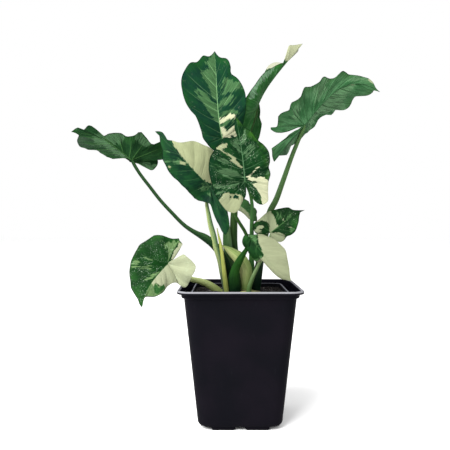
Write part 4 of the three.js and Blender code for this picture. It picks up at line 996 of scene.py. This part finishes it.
def soil_material():
    """Damp peat with brown and grey crumbs."""
    tone = SURFACES["peat"]
    paint = Paint("soil_peat", "peat")
    place = paint.place()
    crumb = paint.noise(place, 260, 5.0, 0.7)
    colour = paint.mix(paint.ramp(crumb, 0.35, 0.7), tone["dark"], tone["light"])
    damp = paint.ramp(paint.noise(place, 40), 0.45, 0.75, 0, 0.5)
    return paint.finish(paint.mix(damp, colour, tone["damp"]), crumb)


def perlite_material():
    """Pale grains."""
    tone = SURFACES["perlite"]
    paint = Paint("perlite", "perlite")
    cloud = paint.noise(paint.place(), 500)
    return paint.finish(paint.mix(cloud, tone["dark"], tone["light"]), cloud)


def corm_material():
    """Ringed, dull green-brown skin with dry brown scars."""
    tone = SURFACES["corm"]
    paint = Paint("corm_skin", "corm")
    place = paint.place()
    rings = paint.noise(place, (30, 30, 500), 3.0, 0.6)
    cloud = paint.noise(place, 80, 4.0, 0.6)
    colour = paint.mix(paint.ramp(rings, 0.4, 0.62), tone["dark"], tone["light"])
    colour = paint.mix(paint.ramp(cloud, 0.45, 0.7, 0, 0.6), colour, tone["scar"])
    return paint.finish(colour, paint.plus(rings, cloud))


def floor_material():
    tone = SURFACES["floor"]
    paint = Paint("floor_white", "floor")
    cloud = paint.noise(paint.place(), 2.0, 2.0)
    return paint.finish(paint.mix(cloud, tone["dark"], tone["light"]))


# Curves

def bezier(corners):
    a, b, c, d = (np.array(p, float) for p in corners)
    t = np.linspace(0, 1, RIB_STEPS + 1)[:, None]
    return a * (1 - t) ** 3 + 3 * b * t * (1 - t) ** 2 + 3 * c * t * t * (1 - t) + d * t ** 3


def through(points, per):
    """A smooth curve through points, its ends repeated."""
    p = np.array(points, float)
    p = np.vstack([p[0], p, p[-1]])
    t = np.linspace(0, 1, per, endpoint=False)[:, None]
    parts = []
    for a, b, c, d in zip(p, p[1:], p[2:], p[3:]):
        start, end = (c - a) / 2, (d - b) / 2
        parts.append((2 * b - 2 * c + start + end) * t ** 3
                     + (3 * c - 3 * b - 2 * start - end) * t ** 2 + start * t + b)
    return np.vstack(parts + [p[-1:]])


def along(path, shares):
    """Points of a path at shares of its length."""
    steps = np.linalg.norm(np.diff(path[:, :3], axis=0), axis=1)
    place = np.concatenate([[0], np.cumsum(steps)]) / steps.sum()
    return np.stack([np.interp(shares, place, path[:, k]) for k in range(path.shape[1])], 1)


def stalk_line(path):
    """The curve of a stalk: centripetal, with its ends run on straight."""
    p = np.array(path, float)
    p = np.vstack([2 * p[0] - p[1], p, 2 * p[-1] - p[-2]])
    t = np.linspace(0, 1, STALK_CURVE_STEPS, endpoint=False)[:, None]
    parts = []
    for a, b, c, d in zip(p, p[1:], p[2:], p[3:]):
        before, here, after = (np.linalg.norm((v - u)[:3]) ** 0.5
                               for u, v in ((a, b), (b, c), (c, d)))
        start = here * ((b - a) / before - (c - a) / (before + here) + (c - b) / here)
        end = here * ((c - b) / here - (d - b) / (here + after) + (d - c) / after)
        parts.append(b + start * t + (3 * c - 3 * b - 2 * start - end) * t ** 2
                     + (2 * b - 2 * c + start + end) * t ** 3)
    return np.vstack(parts + [p[-2:-1]])


# Leaves

def along_margin(values, s, turn):
    """A value given at the tip, abreast of the stalk and in the lobe, at shares s of the margin."""
    tip, middle, lobe = values
    behind = np.sin(np.clip(2 * (s - turn) / (1 - turn), 0, 1) * math.pi / 2)
    return np.where(s < turn, tip + (middle - tip) * s / turn, middle + (lobe - middle) * behind)


def half_rows(leaf, key, rows, counts):
    """The foot on the rib, margin and direction ahead of each row of one half."""
    ahead, behind = counts
    half = leaf[key]
    rib = bezier(leaf["rib"])
    turn = half["turn"]
    direction = unit(np.gradient(rib, axis=0))
    notch = rib[0] - direction[0] * leaf.get("notch", NOTCH)
    outline = [rib[-1][[0, 2]], *half["margin"], notch[[0, 2]]]
    share = np.clip(rows / ahead, 0, 1)
    slant = half.get("slant", VEIN_SLANT)
    s = np.where(rows <= ahead, turn * share ** slant, turn + (1 - turn) * (rows - ahead) / behind)
    foot = along(np.hstack([rib, direction]), 1 - share ** RIB_EASE)
    abreast = along(rib, np.clip(1 - s / turn, 0, 1))
    front = along(through(outline, MARGIN_STEPS), s)
    reach = np.hypot(front[:, 0] - abreast[:, 0], front[:, 1] - abreast[:, 2])
    deep = abreast[:, 1] + along_margin(half["lean"], s, turn) * reach
    margin = np.stack([front[:, 0], deep, front[:, 1]], 1)
    margin[rows == 0] = rib[-1]
    margin[rows == ahead + behind] = notch
    return s, foot[:, :3], margin, unit(foot[:, 3:])


def half_normals(leaf, key, side, counts):
    """Upper-face directions at whole rows: square to rib and vein, then to the fan of the lobe."""
    whole = np.arange(sum(counts) + 1.0)
    s, foot, margin, ahead = half_rows(leaf, key, whole, counts)
    vein = margin - foot
    flat = -side * unit(np.cross(ahead, vein))
    following = np.vstack([margin[1:], margin[-1:]])
    previous = np.vstack([margin[:1], margin[:-1]])
    fan = side * unit(np.cross(following - previous, vein))
    share = np.clip((s / leaf[key]["turn"] - 0.8) / 0.2, 0, 1)[:, None]
    normals = unit(flat + (fan - flat) * share)
    normals[:2], normals[-1] = normals[2], normals[-2]
    return whole, normals


def half_surface(leaf, key, side, rows, across, counts):
    """Points of one half, rows by columns, and how far each lies from veins, rib and margin."""
    half = leaf[key]
    s, foot, margin, ahead = half_rows(leaf, key, rows, counts)
    whole, normals = half_normals(leaf, key, side, counts)
    normal = unit(np.stack([np.interp(rows, whole, normals[:, k]) for k in range(3)], 1))
    vein = margin - foot
    length = np.linalg.norm(vein, axis=1)[:, None]
    spread = np.sqrt(np.maximum(0, np.sin(math.pi * s)))[:, None]
    fade = np.clip(1 - (s - half["turn"]) / 0.1, 0, 1)[:, None]
    off_vein = np.abs((rows % 2) - 1)
    r = across[None, :]
    arch = 4 * r * (1 - r)
    height, count, start = half["wave"]
    turns = 2 * math.pi * (count * s + start)[:, None]
    wave = height * spread * np.sin(turns) * r ** 1.6
    ruffle = 0.25 * height * spread * np.sin(3.1 * turns + 1) * r ** 5
    puff = 2 * np.sin(math.pi / 2 * off_vein) ** 0.8 - 1
    relief = leaf.get("relief", VEIN_RELIEF) * spread * arch * puff[:, None]
    bulge = along_margin(half["bulge"], s, half["turn"])[:, None] * spread * arch
    rise = bulge + wave + ruffle + relief
    points = (foot[:, None] + vein[:, None] * r[..., None]
              - ahead[:, None] * (VEIN_BOW * length * r * (1 - r) * fade)[..., None]
              + normal[:, None] * rise[..., None])
    spacing = np.linalg.norm(np.gradient(points, rows, axis=0), axis=2)
    facts = {"vein": off_vein[:, None] * spacing, "rib": length * r, "edge": length * (1 - r)}
    return points, facts


def depth_inside(places, outline):
    """How far front-view places lie inside a closed outline, negative outside."""
    a = np.array(outline, float)
    b = np.roll(a, -1, 0)
    edge = b - a
    away = places[:, None] - a
    share = np.clip((away * edge).sum(2) / (edge ** 2).sum(1), 0, 1)
    gap = np.linalg.norm(away - share[..., None] * edge, axis=2).min(1)
    x, z = places[:, :1], places[:, 1:]
    crossing = a[:, 0] + (z - a[:, 1]) * edge[:, 0] / np.where(edge[:, 1] == 0, 1e-9, edge[:, 1])
    inside = (((a[:, 1] > z) != (b[:, 1] > z)) & (x < crossing)).sum(1) % 2 == 1
    return np.where(inside, gap, -gap)


def marking_fields(surface, marks):
    """How far each point of a half lies inside the markings of each tone."""
    places = surface.reshape(-1, 3)[:, [0, 2]]
    fields = {tone: np.full(len(places), -float(FIELD_REACH)) for tone in FIELD_TONES}
    for tone, outline in marks:
        fields[tone] = np.maximum(fields[tone], depth_inside(places, outline))
    return {tone: np.clip(values, -FIELD_REACH, FIELD_REACH).reshape(surface.shape[:2])
            for tone, values in fields.items()}


def net_rows(counts):
    """Places of the rows, which lie close together at each main vein."""
    last = sum(counts)
    veins = np.arange(-1, last + 3, 2)
    near = [v + way * step for v in veins for step in VEIN_STEPS for way in (-1, 1)]
    rows = np.unique(np.round(near, 4))
    return rows[(rows >= 0) & (rows <= last)]


def point_label(key, i, j, stalk_row, last):
    """What a point of the net is known by: the halves share the rib, the tip and the notch."""
    if i == 0:
        return ("rib", 0)
    if j == 0:
        return ("rib", min(i, stalk_row))
    if i == last:
        return ("notch", j)
    return (key, i, j)


def leaf_net(number, name, rows, across, counts):
    """Points of a whole leaf, what is known at each, and the points' numbers in both halves."""
    leaf = LEAVES[name]
    stalk_row = int(np.searchsorted(rows, counts[0]))
    points, net, numbers, grids = [], [], {}, {}
    fields = {key: [] for key in ("vein", "rib", "edge", *FIELD_TONES)}
    for key, side in (("right", 1), ("left", -1)):
        surface, facts = half_surface(leaf, key, side, rows, across, counts)
        facts.update(marking_fields(surface, MARKINGS.get((name, key), [])))
        grid = np.zeros((len(rows), len(across)), int)
        for i, j in np.ndindex(grid.shape):
            label = point_label(key, i, j, stalk_row, len(rows) - 1)
            if label not in numbers:
                numbers[label] = len(points)
                points.append(surface[i, 0 if i == 0 else j])
                net.append((rows[i], side * across[j], number * PATTERN_SHIFT))
                for field, values in fields.items():
                    values.append(facts[field][i, j])
            grid[i, j] = numbers[label]
        grids[side] = grid
    fields["net"] = net
    return np.array(points), {key: np.array(values) for key, values in fields.items()}, grids


def net_faces(grids):
    """Triangles of the net, without those that the shared points close up."""
    faces = []
    for side, grid in grids.items():
        for i, j in np.ndindex(grid.shape[0] - 1, grid.shape[1] - 1):
            corners = (grid[i, j], grid[i + 1, j], grid[i + 1, j + 1], grid[i, j + 1])
            a, b, c, d = corners[::side]
            faces += [f for f in ((a, b, c), (a, c, d)) if len(set(f)) == 3]
    return np.array(faces)


def skin_points(points, faces, facts, ahead):
    """Points of the upper skin and of the under skin, with the ridges of rib and veins."""
    corner = points[faces]
    cross = np.cross(corner[:, 1] - corner[:, 0], corner[:, 2] - corner[:, 0])
    normal = np.zeros_like(points)
    for k in range(3):
        np.add.at(normal, faces[:, k], cross)
    normal = unit(normal)
    thin = EDGE_THICK + (HALF_THICK - EDGE_THICK) * smooth(facts["edge"] / EDGE_REACH)
    growth = np.sqrt(np.clip(facts["net"][:, 0] / ahead, 0, 1))
    ridge = RIB_RIDGE * growth * bell(facts["rib"] / RIB_HALF)
    inner = smooth(facts["edge"] / VEIN_END) * smooth(facts["rib"] / VEIN_START)
    ridge = ridge + VEIN_RIDGE * inner * bell(facts["vein"] / VEIN_HALF)
    return np.vstack([points + normal * thin[:, None], points - normal * (thin + ridge)[:, None]])


def build_leaf(number, name):
    """A leaf blade: both halves, upper and under skin, and the thin edge between them."""
    small = LEAVES[name].get("small", False)
    counts, across = (SMALL_ROWS, SMALL_ACROSS) if small else (BIG_ROWS, ACROSS)
    points, facts, grids = leaf_net(number, name, net_rows(counts), np.array(across), counts)
    faces = net_faces(grids)
    count = len(points)
    right, left = (grids[side][1:, -1].tolist() for side in (1, -1))
    loop = [int(grids[1][0, 0])] + left[:-1] + right[::-1]
    rim = []
    for a, b in zip(loop, loop[1:] + loop[:1]):
        rim += [(a, count + a, count + b), (a, count + b, b)]
    skin = faces.tolist() + (faces[:, ::-1] + count).tolist() + rim
    piece = plain_object(f"leaf_{name}", skin_points(points, faces, facts, counts[0]), skin)
    dress(piece, [LeafPaint(name, under).skin() for under in (False, True)], f"blade_{name}")
    skin_number = np.repeat([0, 1, 0], [len(faces), len(faces), len(rim)])
    piece.data.polygons.foreach_set("material_index", skin_number.astype(np.int32))
    for field, values in facts.items():
        add_field(piece.data, field, np.concatenate([values, values]))
    sharpen(piece.data, [loop, [count + v for v in loop]])


# Stalks

def stalk_rings(line, flat, angle, opening, wing):
    """Oval rings along a line, with two low wings and a groove between them where it opens."""
    centre, half = line[:, :3], line[:, 3:]
    ahead = unit(np.gradient(centre, axis=0))
    sideways = unit(np.cross(np.array([0.0, 1, 0]), ahead))
    depth = unit(np.cross(ahead, sideways))
    groove = bell((angle - math.pi / 2) / WING_SPREAD)
    swell = 1 + opening * (WING_SWELL * wing - GROOVE_DEPTH * groove)
    across = half * np.cos(angle) * swell
    deep = half * flat * np.sin(angle) * swell
    rings = (centre[:, None] + sideways[:, None] * across[..., None]
             + depth[:, None] * deep[..., None])
    return np.vstack([rings.reshape(-1, 3), centre[:1], centre[-1:]])


def build_stalk(name, growth, node):
    """A stalk, closed at both ends by a fan of faces."""
    line = stalk_line(growth["path"])
    length = np.linalg.norm(np.diff(line[:, :3], axis=0), axis=1).sum()
    count = max(STALK_LEAST_STEPS, round(length / STALK_STEP)) + 1
    share = np.linspace(0, 1, count)
    angle = np.arange(STALK_SIDES) / STALK_SIDES * 2 * math.pi
    flat = growth["flat"] + (1 - growth["flat"]) * share[:, None]
    opening = smooth((WING_END - share) / WING_FADE)[:, None]
    wing = sum(bell(np.abs(angle - middle) / WING_SPREAD) for middle in WING_ANGLES)
    points = stalk_rings(along(line, share), flat, angle, opening, wing)
    low, high = len(points) - 2, len(points) - 1
    top = low - STALK_SIDES
    faces = bands(count, STALK_SIDES)
    for i in range(STALK_SIDES):
        following = (i + 1) % STALK_SIDES
        faces += [(low, following, i), (high, top + i, top + following)]
    piece = plain_object(f"grown_{name}", points, faces)
    dress(piece, [stalk_material(name)], node)
    rise, side, back = (np.repeat(share, STALK_SIDES), np.tile(np.cos(angle), count),
                        np.tile(np.sin(angle), count))
    run = np.stack([side * 3, rise * length, back * 3 + len(name)], 1)
    fields = {"run": run, "side": side, "rise": rise, "wing": (opening * wing).ravel()}
    for field, values in fields.items():
        add_field(piece.data, field, np.concatenate([values, np.zeros_like(values[:2])]))


# Pots

def rounded_square(half, corner, z):
    ring = []
    for quarter in range(4):
        turn = (quarter + 0.5) * math.pi / 2
        centre = (half - corner) * math.sqrt(2)
        for step in range(CORNER_STEPS + 1):
            angle = (quarter + step / CORNER_STEPS) * math.pi / 2
            ring.append((centre * math.cos(turn) + corner * math.cos(angle),
                         centre * math.sin(turn) + corner * math.sin(angle), z))
    return ring


def square_loft(profile, radius):
    """A loft over a profile of (half, corner, z) whose inner bends are small arcs."""
    p = np.array(profile, float)
    out = [p[0]]
    for before, here, after in zip(p, p[1:], p[2:]):
        back, on = before - here, after - here
        lengths = [max(np.hypot(v[0], v[2]), 1e-6) for v in (back, on)]
        cut = min(radius, *(0.45 * v for v in lengths))
        start, end = here + back * cut / lengths[0], here + on * cut / lengths[1]
        for t in np.linspace(0, 1, BEND_STEPS + 1):
            out.append(start * (1 - t) ** 2 + 2 * here * t * (1 - t) + end * t * t)
    return loft([rounded_square(*row) for row in out + [p[-1]]])


def boolean(piece, shape, operation):
    """Joins a closed shape to a piece, or cuts it out."""
    tool = plain_object("tool", *shape)
    modifier = piece.modifiers.new("cut", "BOOLEAN")
    modifier.operation = operation
    modifier.solver = "EXACT"
    modifier.object = tool
    bpy.context.view_layer.objects.active = piece
    bpy.ops.object.modifier_apply(modifier=modifier.name)
    bpy.data.objects.remove(tool)


def round_bar(radius, bottom, top, x, y):
    angles = np.arange(BAR_SIDES) / BAR_SIDES * 2 * math.pi
    return loft([[(x + radius * math.cos(a), y + radius * math.sin(a), z) for a in angles]
                 for z in (bottom, top)])


def foot_block(side, mirror):
    """One foot under a side of the pot, with chamfered ends."""
    profile = [(FOOT_INNER, FOOT_TOP_Z), (FOOT_INNER, FOOT_CHAMFER), (FOOT_INNER + FOOT_CHAMFER, 0),
               (FOOT_OUTER - FOOT_CHAMFER, 0), (FOOT_OUTER, FOOT_CHAMFER), (FOOT_OUTER, FOOT_TOP_Z)]
    front = FOOT_INSET - POT_FOOT_HALF
    cos, sin = math.cos(side * math.pi / 2), math.sin(side * math.pi / 2)
    rings = [[(x * mirror * cos - y * sin, x * mirror * sin + y * cos, z) for x, z in profile]
             for y in (front, front + FOOT_DEPTH)]
    return loft(rings[::mirror])


def pot_half(z):
    share = (z - POT_EDGE_TOP_Z) / (POT_COLLAR_Z - POT_EDGE_TOP_Z)
    return POT_FOOT_HALF + (POT_TOP_HALF - POT_FOOT_HALF) * share


def pot_shell():
    """The pot's walls, collar and rim with its feet, hollowed out."""
    collar = POT_TOP_HALF + POT_COLLAR_OUT
    mouth = POT_RIM_HALF - POT_LIP
    outside = [
        (POT_FOOT_HALF - 7, FOOT_CORNER - 5, POT_FLOOR_Z),
        (POT_FOOT_HALF - 3, FOOT_CORNER - 2, POT_FLOOR_Z + 1.2),
        (POT_FOOT_HALF - 1, FOOT_CORNER - 1, POT_FLOOR_Z + 3.5),
        (POT_FOOT_HALF, FOOT_CORNER, POT_EDGE_TOP_Z),
        (POT_TOP_HALF, TOP_CORNER, POT_COLLAR_Z),
        (collar, TOP_CORNER + 2, POT_COLLAR_Z + 1.2),
        (collar + 0.6, TOP_CORNER + 2, POT_FLANGE_Z - 0.6),
        (POT_RIM_HALF - 0.8, RIM_CORNER, POT_FLANGE_Z),
        (POT_RIM_HALF, RIM_CORNER, POT_FLANGE_Z + 1),
        (POT_RIM_HALF, RIM_CORNER, POT_HEIGHT - 1.4),
        (POT_RIM_HALF - 1.2, RIM_CORNER - 1, POT_HEIGHT),
    ]
    inside = [
        (POT_FOOT_HALF - 10, FOOT_CORNER - 4, POT_FLOOR_Z + POT_FLOOR_THICK),
        (pot_half(POT_EDGE_TOP_Z) - POT_WALL, FOOT_CORNER - POT_WALL, POT_EDGE_TOP_Z + 1),
        (pot_half(POT_LEDGE_Z) - POT_WALL, TOP_CORNER - POT_WALL, POT_LEDGE_Z),
        (collar - POT_WALL, TOP_CORNER, POT_LEDGE_Z + 1.2),
        (collar - POT_WALL + 0.6, TOP_CORNER, POT_FLANGE_Z + 1),
        (mouth - 0.6, RIM_CORNER - POT_LIP, POT_HEIGHT - 1),
        (mouth, RIM_CORNER - POT_LIP, POT_HEIGHT + 1),
    ]
    pot = plain_object("pot_shell", *square_loft(outside, 1.2))
    for side in range(4):
        for mirror in (1, -1):
            boolean(pot, foot_block(side, mirror), "UNION")
    boolean(pot, square_loft(inside, 1.0), "DIFFERENCE")
    return pot


def build_pot():
    """The pot with its centre pad and drainage holes; its inside faces and low up-facing ledges
    take the darker, dull copy of the plastic as painted shade, and its rim a painted highlight.
    """
    pot = pot_shell()
    floor = POT_FLOOR_Z + POT_FLOOR_THICK
    boolean(pot, round_bar(CENTRE_PAD_RADIUS, 0, floor - POT_FLOOR_THICK / 2, 0, 0), "UNION")
    for k in range(DRAIN_COUNT):
        angle = (k + 0.5) * 2 * math.pi / DRAIN_COUNT
        x, y = DRAIN_RING * math.cos(angle), DRAIN_RING * math.sin(angle)
        boolean(pot, round_bar(DRAIN_RADIUS, -1, floor + 1, x, y), "DIFFERENCE")
    dress(pot, [pot_material(), shaded_pot_inside_material()], "pot")
    pot.data.set_sharp_from_angle(angle=CREASE_ANGLE)
    # Faces that look inwards, and ledges that face up below the rim's top, take the shaded copy:
    # painted shade.
    for face in pot.data.polygons:
        x, y, z = face.center / MM
        inward = face.normal.x * x + face.normal.y * y < -1
        if inward or (face.normal.z > 0.5 and z < POT_HEIGHT - 1.5):
            face.material_index = 1


def liner_half(z):
    share = (z - LINER_BASE_Z) / (LINER_LIP_Z - LINER_BASE_Z)
    return LINER_FOOT_HALF + (LINER_TOP_HALF - LINER_FOOT_HALF) * share


def build_grow_pot():
    floor = LINER_BASE_Z + LINER_FLOOR_THICK
    corner = LINER_CORNER - LINER_WALL
    outside = [
        (LINER_FOOT_HALF - 2, LINER_CORNER - 2, LINER_BASE_Z),
        (liner_half(LINER_BASE_Z + 2), LINER_CORNER, LINER_BASE_Z + 2),
        (LINER_TOP_HALF, LINER_CORNER, LINER_LIP_Z),
        (LINER_RIM_HALF, LINER_CORNER + 1, LINER_LIP_Z + 0.8),
        (LINER_RIM_HALF, LINER_CORNER + 1, LINER_TOP - 0.5),
        (LINER_RIM_HALF - 0.5, LINER_CORNER + 0.5, LINER_TOP),
    ]
    inside = [
        (liner_half(floor) - LINER_WALL - 1, corner - 1, floor),
        (liner_half(floor + 2) - LINER_WALL, corner, floor + 2),
        (LINER_TOP_HALF - LINER_WALL, corner, LINER_LIP_Z),
        (LINER_TOP_HALF - LINER_WALL + 0.6, corner, LINER_TOP + 1),
    ]
    pot = plain_object("grow_pot_shell", *square_loft(outside, 0.6))
    boolean(pot, square_loft(inside, 0.6), "DIFFERENCE")
    dress(pot, [grow_pot_material()], "grow_pot")
    pot.data.set_sharp_from_angle(angle=CREASE_ANGLE)


# Soil and corm

def soil_rise(x, y, share=1):
    """Height of the soil over its top, from slow lumps, whose share may be less, and fine waves."""
    lump = math.sin(x * 0.13 + 1) * math.cos(y * 0.11) + math.sin(x * 0.05 - y * 0.09 + 2)
    fine = sum(math.sin(a * x + b * y + c) for a, b, c in SOIL_WAVES) / len(SOIL_WAVES)
    return SOIL_BUMP * share * lump / 2 + SOIL_ROUGH * fine


def soil_rings(top_half, inset):
    corner = LINER_CORNER - inset
    floor = LINER_BASE_Z + LINER_FLOOR_THICK + GAP
    rings = [
        rounded_square(liner_half(floor) - inset - 1.5, corner - 1.5, floor),
        rounded_square(liner_half(floor + 3) - inset, corner, floor + 3),
        rounded_square(liner_half(SOIL_EDGE) - inset, corner, SOIL_EDGE),
    ]
    for share in np.linspace(1, 0.02, SOIL_RINGS):
        lumps = min(1, 4 * (1 - share))
        rings.append([(x, y, z + soil_rise(x, y, lumps))
                      for x, y, z in rounded_square(top_half * share, corner * share, SOIL_TOP)])
    return rings


def is_bare(x, y, reach):
    """Whether a place is at the corm or in a corner of the pot, where no crumbs lie."""
    off = [(place - middle) / half for place, middle, half in zip((x, y), CORM_CENTRE, CORM_HALF)]
    at_corm = off[0] ** 2 + off[1] ** 2 < BARE_RING
    return at_corm or min(abs(x), abs(y)) > reach - BARE_CORNER


def add_grain(points, faces, place, size, draw):
    """A small irregular crumb with a top, a bottom and five sides."""
    base = len(points)
    angle = draw.uniform(0, 2 * math.pi)
    turn = np.array([(math.cos(angle), -math.sin(angle), 0), (math.sin(angle), math.cos(angle), 0),
                     (0, 0, 1)])
    scale = size * draw.uniform(0.6, 1.1, 3)
    shape = (GRAIN_CORNERS * draw.uniform(0.75, 1.2, (len(GRAIN_CORNERS), 1)) * scale) @ turn.T
    points.extend((shape + np.array(place)).tolist())
    for i in range(5):
        a, b = base + 1 + i, base + 1 + (i + 1) % 5
        faces += [(base, a, b), (base + 6, b, a)]


def build_soil(draw):
    """Soil body with a crumbly top, and loose crumbs and pale grains lying on it."""
    inset = LINER_WALL + GAP
    top_half = liner_half(SOIL_TOP) - inset
    points, faces = loft(soil_rings(top_half, inset))
    tones = [0] * len(faces)
    reach = top_half - 3
    grains = 0
    while grains < GRAIN_COUNT:
        x, y = draw.uniform(-reach, reach, 2)
        if is_bare(x, y, reach):
            continue
        pale = grains % PALE_EVERY == 0
        size = draw.uniform(*(PALE_SIZES if pale else CRUMB_SIZES))
        add_grain(points, faces, (x, y, SOIL_TOP + soil_rise(x, y) + GRAIN_LIFT * size), size, draw)
        tones += [int(pale)] * (len(faces) - len(tones))
        grains += 1
    soil = plain_object("soil_body", points, faces)
    dress(soil, [soil_material(), perlite_material()], "soil")
    soil.data.polygons.foreach_set("material_index", np.array(tones, np.int32))


def build_corm():
    """Corm: an oval knob with ring scars, narrowing down into the soil."""
    rings = []
    for share, z in through(CORM_PROFILE, CORM_STEPS):
        scar = 1 + SCAR_DEPTH * math.sin(z * SCAR_WAVE) * min(1, 3 * share)
        ring = []
        for angle in np.arange(CORM_SIDES) / CORM_SIDES * 2 * math.pi:
            wobble = 1 + 0.02 * math.sin(3 * angle + z * 0.2) + 0.012 * math.sin(7 * angle)
            out = share * scar * wobble
            ring.append((CORM_CENTRE[0] + CORM_HALF[0] * out * math.cos(angle),
                         CORM_CENTRE[1] + CORM_HALF[1] * out * math.sin(angle), z))
        rings.append(ring)
    dress(plain_object("corm_body", *loft(rings)), [corm_material()], "corm")


# Camera, lights and floor

def build_camera():
    camera = link("camera", bpy.data.cameras.new("camera"))
    camera.location = [c * MM for c in CAMERA_PLACE]
    camera.rotation_euler = (math.pi / 2, 0, 0)
    camera.data.sensor_width = SENSOR
    camera.data.lens = SENSOR * FOCAL_PIXELS / PICTURE
    camera.data.clip_start = CLIP_START
    bpy.context.scene.camera = camera


def build_light(name, place, size, power):
    """A soft square light that looks at the middle of the plant."""
    light = link(name, bpy.data.lights.new(name, "AREA"))
    light.data.size = size
    light.data.energy = power
    light.location = place
    target = light.location.copy()
    target.x, target.y, target.z = 0, 0, CAMERA_PLACE[2] * MM
    light.rotation_euler = (target - light.location).to_track_quat("-Z", "Y").to_euler()


def build_studio():
    """White floor and surroundings."""
    corners = [(x * FLOOR_HALF, y * FLOOR_HALF, 0) for x, y in ((-1, -1), (1, -1), (1, 1), (-1, 1))]
    floor = plain_object("floor", corners, [(0, 1, 2, 3)])
    floor.data.materials.append(floor_material())
    world = bpy.data.worlds.new("studio")
    world.use_nodes = True
    background = world.node_tree.nodes["Background"]
    background.inputs["Color"].default_value = (1, 1, 1, 1)
    background.inputs["Strength"].default_value = 1.0
    bpy.context.scene.world = world
    bpy.context.scene.view_settings.view_transform = "Standard"
    for name, setting in LIGHTS.items():
        build_light(name, *setting)


build_camera()
build_studio()
for number, leaf_name in enumerate(LEAVES):
    build_leaf(number, leaf_name)
for stalk_name, growth in STALKS.items():
    path = growth["path"]
    top = (*LEAVES[stalk_name]["rib"][0], path[-1][3] * STALK_TOP_TAPER)
    build_stalk(stalk_name, {**growth, "path": [*path, top]}, f"stalk_{stalk_name}")
for shoot_name, growth in SHOOTS.items():
    build_stalk(shoot_name, growth, shoot_name)
build_pot()
build_grow_pot()
build_soil(np.random.default_rng(SEED))
build_corm()
